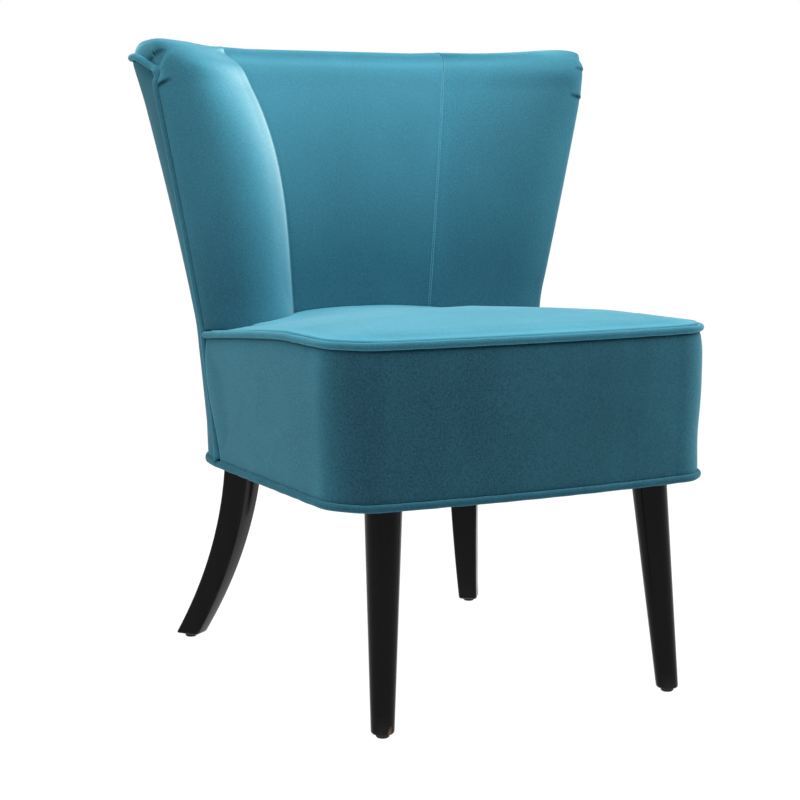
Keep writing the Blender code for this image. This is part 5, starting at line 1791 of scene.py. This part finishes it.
@dataclass
class LegSet:
    """The turned front legs and the sabre rear legs."""

    lines: ChairLines
    foot_z: float = 0.0053
    front_foot: tuple[float, float] = (0.1982, -0.3392)
    front_splay: tuple[float, float] = (0.0150, 0.0263)
    front_radii: tuple[float, float] = (0.0136, 0.0221)
    rear_kick: float = 0.088
    rear_heading: float = math.radians(35.6)
    rear_curve: float = 0.86
    rear_top: tuple[float, float] = (0.0448, 0.0360)
    rear_toe: tuple[float, float] = (0.0262, 0.0340)
    rear_corner: float = 0.004
    sides: int = 48

    @property
    def top_z(self) -> float:
        """Give the height of the legs' tops, under their plates."""
        return self.lines.boxing_bottom_z - 2 * self.lines.clear - 0.0025

    def loft(self, name: str, loops: list[np.ndarray], wear: np.ndarray,
             chip: np.ndarray) -> bpy.types.Object:
        """Join loops of points into a closed leg with stored wear.

        Args:
            name: Name of the piece.
            loops: Loops from the foot to the top.
            wear: Wear of each point.
            chip: Chipped share of each point.

        Returns:
            The leg.
        """
        count = len(loops[0])
        points = np.vstack(loops)
        faces = grid_faces(len(loops), count, wrap=True)
        faces.append(tuple(range(count - 1, -1, -1)))
        faces.append(tuple(range((len(loops) - 1) * count, len(loops) * count)))
        leg = new_object(name, points, faces)
        face_outward(leg)
        leg.data.set_sharp_from_angle(angle=math.radians(50.0))
        put_attribute(leg, "wear", wear)
        put_attribute(leg, "chip", chip)
        return leg

    def heights(self) -> np.ndarray:
        """List the shares of a leg's height, close together at the eased ends."""
        return np.r_[0.0, 0.004, 0.009, np.linspace(0.016, 0.99, 40), 0.996, 1.0]

    def front(self, side: Side) -> bpy.types.Object:
        """Make a tapered round front leg."""
        turn = np.linspace(0.0, 2 * math.pi, self.sides, endpoint=False)
        loops, wear, chip = [], [], []
        for s in self.heights():
            radius = self.front_radii[0] + (self.front_radii[1] - self.front_radii[0]) * s
            radius -= 0.0012 * max(1 - s / 0.009, 0.0) ** 2 + 0.0006 * max((s - 0.99) / 0.01, 0.0) ** 2
            x = side.value * (self.front_foot[0] - self.front_splay[0] * s) + radius * np.cos(turn)
            y = self.front_foot[1] + self.front_splay[1] * s + radius * np.sin(turn)
            z = self.foot_z + (self.top_z - self.foot_z) * s
            loops.append(self.lines.place(np.c_[x, y], z))
            near = max(1 - s / 0.10, 0.0)
            wear.append(0.55 * near ** 2 * (0.6 + 0.4 * np.sin(3 * turn + 1.0)))
            spot = np.exp(-((turn - 4.90) / 0.15) ** 2) * math.exp(-((s - 0.010) / 0.009) ** 2)
            chip.append(spot if side is Side.LEFT else np.zeros(self.sides))
        return self.loft(f"front_leg_turned_{side.word}", loops, np.concatenate(wear), np.concatenate(chip))

    def section(self, width: float, depth: float) -> np.ndarray:
        """Draw a rectangle with rounded corners about its own centre."""
        points = []
        for quarter in range(4):
            sign = np.array((1 if quarter in (0, 3) else -1, 1 if quarter in (0, 1) else -1))
            middle = sign * (np.array((width, depth)) / 2 - self.rear_corner)
            for turn in np.linspace(0.0, math.pi / 2, 6) + math.pi / 2 * quarter:
                points.append(middle + self.rear_corner * np.array((math.cos(turn), math.sin(turn))))
        return np.array(points)

    def rear(self, side: Side) -> bpy.types.Object:
        """Make a sabre rear leg that sweeps out and back to its toe."""
        low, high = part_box(f"rear_leg_glide_{side.word}")
        foot = np.array(((low.x + high.x) / 2, (low.y + high.y) / 2 - self.lines.root_y))
        sweep_way = np.array((side.value * math.sin(self.rear_heading), math.cos(self.rear_heading)))
        across = np.array((sweep_way[1], -sweep_way[0]))
        loops, wear = [], []
        for s in self.heights():
            centre = foot - sweep_way * self.rear_kick * (s + self.rear_curve * s * (1 - s))
            size = np.array(self.rear_toe) + (np.array(self.rear_top) - np.array(self.rear_toe)) * s
            size = size - 0.0024 * max(1 - s / 0.009, 0.0) ** 2 - 0.001 * max((s - 0.99) / 0.01, 0.0) ** 2
            shape = self.section(*size)
            plan = centre + shape[:, :1] * across + shape[:, 1:] * sweep_way
            loops.append(self.lines.place(plan, self.foot_z + (self.top_z - self.foot_z) * s))
            edge = np.tile((0.1, 0.5, 1.0, 1.0, 0.5, 0.1), 4)
            wear.append(edge * (0.22 + 0.5 * max(1 - s / 0.12, 0.0)))
        wear = np.concatenate(wear)
        return self.loft(f"rear_leg_sabre_{side.word}", loops, wear, np.zeros(len(wear)))

    def build(self, palette: Palette) -> list[bpy.types.Object]:
        """Make the four legs."""
        made = []
        for side in Side:
            for end, leg in (("front", self.front(side)), ("rear", self.rear(side))):
                palette.dress(leg, Slot.LACQUER)
                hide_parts(f"{end}_leg_{side.word}")
                made.append(leg)
        return made


@dataclass
class DustCloth:
    """The black cloth under the seat, cut out round the leg plates and stapled at its edge."""

    lines: ChairLines
    hole: float = 0.0195
    thickness: float = 0.0008
    step: float = 0.010
    staple_pitch: float = 0.045
    staple_inset: float = 0.010
    staple_wire: float = 0.0004
    staple: tuple[tuple[float, float], ...] = (
        (-0.0050, -0.0030), (-0.0050, 0.0), (-0.0046, 0.0004), (0.0, 0.0005),
        (0.0046, 0.0004), (0.0050, 0.0), (0.0050, -0.0030))

    def outline(self) -> np.ndarray:
        """Draw the cloth's edge inside the lower piping."""
        lines = self.lines
        inset = lines.piping_side + 0.0005
        front = lines.front_line(lines.edge_y_low, inset)
        rear = lines.rear_line(lines.boxing_bottom_z, 0.002, inset)
        loop = np.vstack((front, rear[::-1], front[:1]))
        knots = along(loop)
        goals = np.linspace(0.0, knots[-1], int(knots[-1] / self.step), endpoint=False)
        return np.c_[np.interp(goals, knots, loop[:, 0]), np.interp(goals, knots, loop[:, 1])]

    def build(self, palette: Palette) -> list[bpy.types.Object]:
        """Make the cloth and its staples.

        Args:
            palette: Finishes to dress them with.

        Returns:
            The cloth and the staples.
        """
        lines = self.lines
        outline = self.outline()
        middle = np.array((0.0, -0.10))
        z = lines.boxing_bottom_z - lines.clear - self.thickness
        rows = []
        for share in np.linspace(0.0, 1.0, 24, endpoint=False):
            ring = outline + (middle - outline) * share
            rows.append(lines.place(ring, z))
        grid = np.array(rows)
        count = len(outline)
        points = np.vstack((grid.reshape(-1, 3), grid[-1].mean(axis=0)))
        faces = grid_faces(len(rows), count, wrap=True)
        last = (len(rows) - 1) * count
        faces += [(last + j, last + (j + 1) % count, len(points) - 1) for j in range(count)]
        cloth = new_object("dust_cloth_sheet", points, faces)
        shell = cloth.modifiers.new("thickness", "SOLIDIFY")
        shell.thickness = self.thickness
        shell.offset = 1.0
        apply_modifiers(cloth)
        face_outward(cloth)
        for side in Side:
            for end in ("front", "rear"):
                self.cut(cloth, f"{end}_leg_plate_{side.word}")
        palette.dress(cloth, Slot.DUST_CLOTH)
        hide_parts("dust_cover")
        return [cloth, self.staples(palette, z)]

    def staples(self, palette: Palette, z: float) -> bpy.types.Object:
        """Drive the staples that hold the cloth's edge to the rails.

        Args:
            palette: Finishes to dress them with.
            z: Height of the cloth's underside.

        Returns:
            The staples.
        """
        lines = self.lines
        inset = lines.piping_side + self.staple_inset
        front = lines.front_line(lines.edge_y_low, inset)
        rear = lines.rear_line(lines.boxing_bottom_z, self.staple_inset, inset)
        loop = np.vstack((front, rear[::-1], front[:1]))
        knots = along(loop)
        goals = np.linspace(0.0, knots[-1], int(knots[-1] / self.staple_pitch), endpoint=False)
        spots = np.array([[np.interp(g, knots, loop[:, k]) for k in range(2)] for g in goals])
        ahead = np.array([[np.interp(g + 0.004, knots, loop[:, k]) for k in range(2)] for g in goals])
        ways = np.c_[ahead - spots, np.zeros(len(spots))]
        ways /= np.linalg.norm(ways, axis=1)[:, None]
        outs = np.broadcast_to(np.array((0.0, 0.0, -1.0)), ways.shape)
        made = short_wires("dust_cloth_staples", lines.place(spots, z), ways, outs, np.array(self.staple),
                           self.staple_wire)
        return palette.dress(made, Slot.ZINC)

    def cut(self, cloth: bpy.types.Object, plate: str) -> None:
        """Cut a round hole in the cloth for a leg plate.

        Args:
            cloth: Cloth to cut.
            plate: Node of the plate.
        """
        low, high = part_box(plate)
        turn = np.linspace(0.0, 2 * math.pi, 32, endpoint=False)
        ring = np.c_[(low.x + high.x) / 2 + self.hole * np.cos(turn),
                     (low.y + high.y) / 2 + self.hole * np.sin(turn)]
        points = np.vstack((np.c_[ring, np.full(32, low.z - 0.01)], np.c_[ring, np.full(32, high.z + 0.01)]))
        faces = grid_faces(2, 32, wrap=True) + [tuple(range(31, -1, -1)), tuple(range(32, 64))]
        cutter = new_object("plate_cutter", points, faces)
        face_outward(cutter)
        hole = cloth.modifiers.new("hole", "BOOLEAN")
        hole.operation = "DIFFERENCE"
        hole.solver = "EXACT"
        hole.object = cutter
        apply_modifiers(cloth)
        bpy.data.objects.remove(cutter, do_unlink=True)


@dataclass
class InnerFrame:
    """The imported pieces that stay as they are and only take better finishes."""

    words: tuple[tuple[str, Slot], ...] = (
        ("plate", Slot.ZINC), ("hanger_bolt", Slot.ZINC), ("post_bolt", Slot.ZINC), ("bracket", Slot.ZINC),
        ("glide", Slot.PLASTIC), ("strap", Slot.WEBBING), ("felt", Slot.FELT), ("rail", Slot.TIMBER),
        ("block", Slot.TIMBER), ("post", Slot.TIMBER), ("stile", Slot.TIMBER),
    )

    def build(self, palette: Palette) -> list[bpy.types.Object]:
        """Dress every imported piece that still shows.

        Args:
            palette: Finishes to dress them with.

        Returns:
            The dressed pieces.
        """
        made = []
        for name, piece in frame["nodes"].items():
            if piece.hide_render:
                continue
            slot = next(slot for word, slot in self.words if word in name)
            palette.paint(piece, slot)
            made.append(piece)
        return made


# Studio


@dataclass
class Studio:
    """The pale floor, the soft lights and the camera."""

    lines: ChairLines
    azimuth: float = math.radians(-28.134)
    elevation: float = math.radians(7.537)
    distance: float = 2.478
    focal: float = 1883.5 / 800 * 36.0
    target: tuple[float, float, float] = (0.0, -0.0104, 0.336)
    floor_glow: float = 1.16
    floor_share: float = 0.86
    fill: float = 0.20

    def camera(self) -> None:
        """Place the camera at the photograph's angle."""
        a, e = self.azimuth, self.elevation
        back = Vector((math.sin(a) * math.cos(e), -math.cos(a) * math.cos(e), math.sin(e)))
        target = Vector(self.target) + Vector((0.0, self.lines.root_y, 0.0))
        lens = bpy.data.cameras.new("camera")
        lens.lens = self.focal
        lens.sensor_width = 36.0
        made = bpy.data.objects.new("camera", lens)
        made.location = target + back * self.distance
        made.rotation_euler = back.to_track_quat("Z", "Y").to_euler()
        bpy.context.scene.collection.objects.link(made)
        bpy.context.scene.camera = made

    @staticmethod
    def softbox(name: str, place: tuple[float, float, float], aim: tuple[float, float, float],
                size: tuple[float, float], power: float) -> None:
        """Hang a soft light.

        Args:
            name: Name of the light.
            place: Where it hangs.
            aim: Point that it faces.
            size: Width and height.
            power: Power in watts.
        """
        lamp = bpy.data.lights.new(name, "AREA")
        lamp.shape = "RECTANGLE"
        lamp.size, lamp.size_y = size
        lamp.energy = power
        made = bpy.data.objects.new(name, lamp)
        made.location = place
        made.rotation_euler = (Vector(place) - Vector(aim)).to_track_quat("Z", "Y").to_euler()
        bpy.context.scene.collection.objects.link(made)

    @staticmethod
    def seen(tree: bpy.types.NodeTree) -> bpy.types.NodeSocket:
        """Pick out the rays that show the white backdrop: straight, mirrored or through a clear piece."""
        path = node(tree, "LightPath").outputs
        mirrored_or_through = calc(tree, "MAXIMUM", path["Is Glossy Ray"], path["Is Transmission Ray"])
        return calc(tree, "MAXIMUM", path["Is Camera Ray"], mirrored_or_through)

    def floor(self) -> None:
        """Lay the pale floor, which shows white with the chair's soft shadow on it."""
        points = np.array(((-8, -8, 0), (8, -8, 0), (8, 8, 0), (-8, 8, 0)), float)
        made = new_object("studio_floor", points, [(0, 1, 2, 3)])
        paint = bpy.data.materials.new("studio_floor")
        paint.use_nodes = True
        tree = paint.node_tree
        tree.nodes.clear()
        matt = node(tree, "BsdfDiffuse", Color=(0.80, 0.80, 0.80, 1.0))
        glow = node(tree, "Emission", Color=(1.0, 1.0, 1.0, 1.0), Strength=self.floor_glow)
        share = calc(tree, "MULTIPLY", self.seen(tree), self.floor_share)
        both = tree.nodes.new("ShaderNodeMixShader")
        tree.links.new(share, both.inputs[0])
        tree.links.new(matt.outputs[0], both.inputs[1])
        tree.links.new(glow.outputs[0], both.inputs[2])
        leave = tree.nodes.new("ShaderNodeOutputMaterial")
        tree.links.new(both.outputs[0], leave.inputs[0])
        made.data.materials.append(paint)

    def world(self) -> None:
        """Fill the room with plain soft light, white where the camera sees it."""
        made = bpy.data.worlds.new("studio")
        bpy.context.scene.world = made
        made.use_nodes = True
        tree = made.node_tree
        tree.nodes.clear()
        fill = node(tree, "Background", Color=(1.0, 1.0, 1.0, 1.0), Strength=self.fill)
        white = node(tree, "Background", Color=(1.0, 1.0, 1.0, 1.0), Strength=1.0)
        both = tree.nodes.new("ShaderNodeMixShader")
        tree.links.new(self.seen(tree), both.inputs[0])
        tree.links.new(fill.outputs[0], both.inputs[1])
        tree.links.new(white.outputs[0], both.inputs[2])
        leave = tree.nodes.new("ShaderNodeOutputWorld")
        tree.links.new(both.outputs[0], leave.inputs[0])

    def build(self) -> None:
        """Set up the floor, the light and the camera."""
        self.floor()
        self.world()
        self.softbox("top_light", (-0.2, -0.6, 2.4), (0.0, 0.0, 0.45), (2.0, 2.0), 52.0)
        self.softbox("left_light", (-2.6, -0.9, 1.3), (0.0, 0.0, 0.45), (0.45, 2.0), 14.0)
        self.softbox("right_light", (2.5, -0.6, 1.6), (0.0, 0.0, 0.5), (1.0, 1.8), 20.0)
        self.camera()
        bpy.context.scene.view_settings.view_transform = "Standard"


def report(pieces: Sequence[bpy.types.Object]) -> None:
    """Log each piece and its size in faces."""
    for piece in pieces:
        LOG.info("%s: %d faces", piece.name, len(piece.data.polygons))


def chair_lines() -> ChairLines:
    """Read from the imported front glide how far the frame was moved, and give the chair's lines."""
    low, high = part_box("front_leg_glide_left")
    return ChairLines(root_y=(low.y + high.y) / 2 - LegSet.front_foot[1])


def main() -> None:
    """Build the chair's pieces in order, and the studio round them."""
    logging.basicConfig(level=logging.INFO, format="%(name)s: %(message)s")
    lines = chair_lines()
    palette = Palette()
    for assembly in (SeatCushion(lines), BackUpholstery(lines), PipingSet(lines), LegSet(lines),
                     DustCloth(lines), InnerFrame()):
        report(assembly.build(palette))
    Studio(lines).build()


if __name__ == "__main__":
    main()
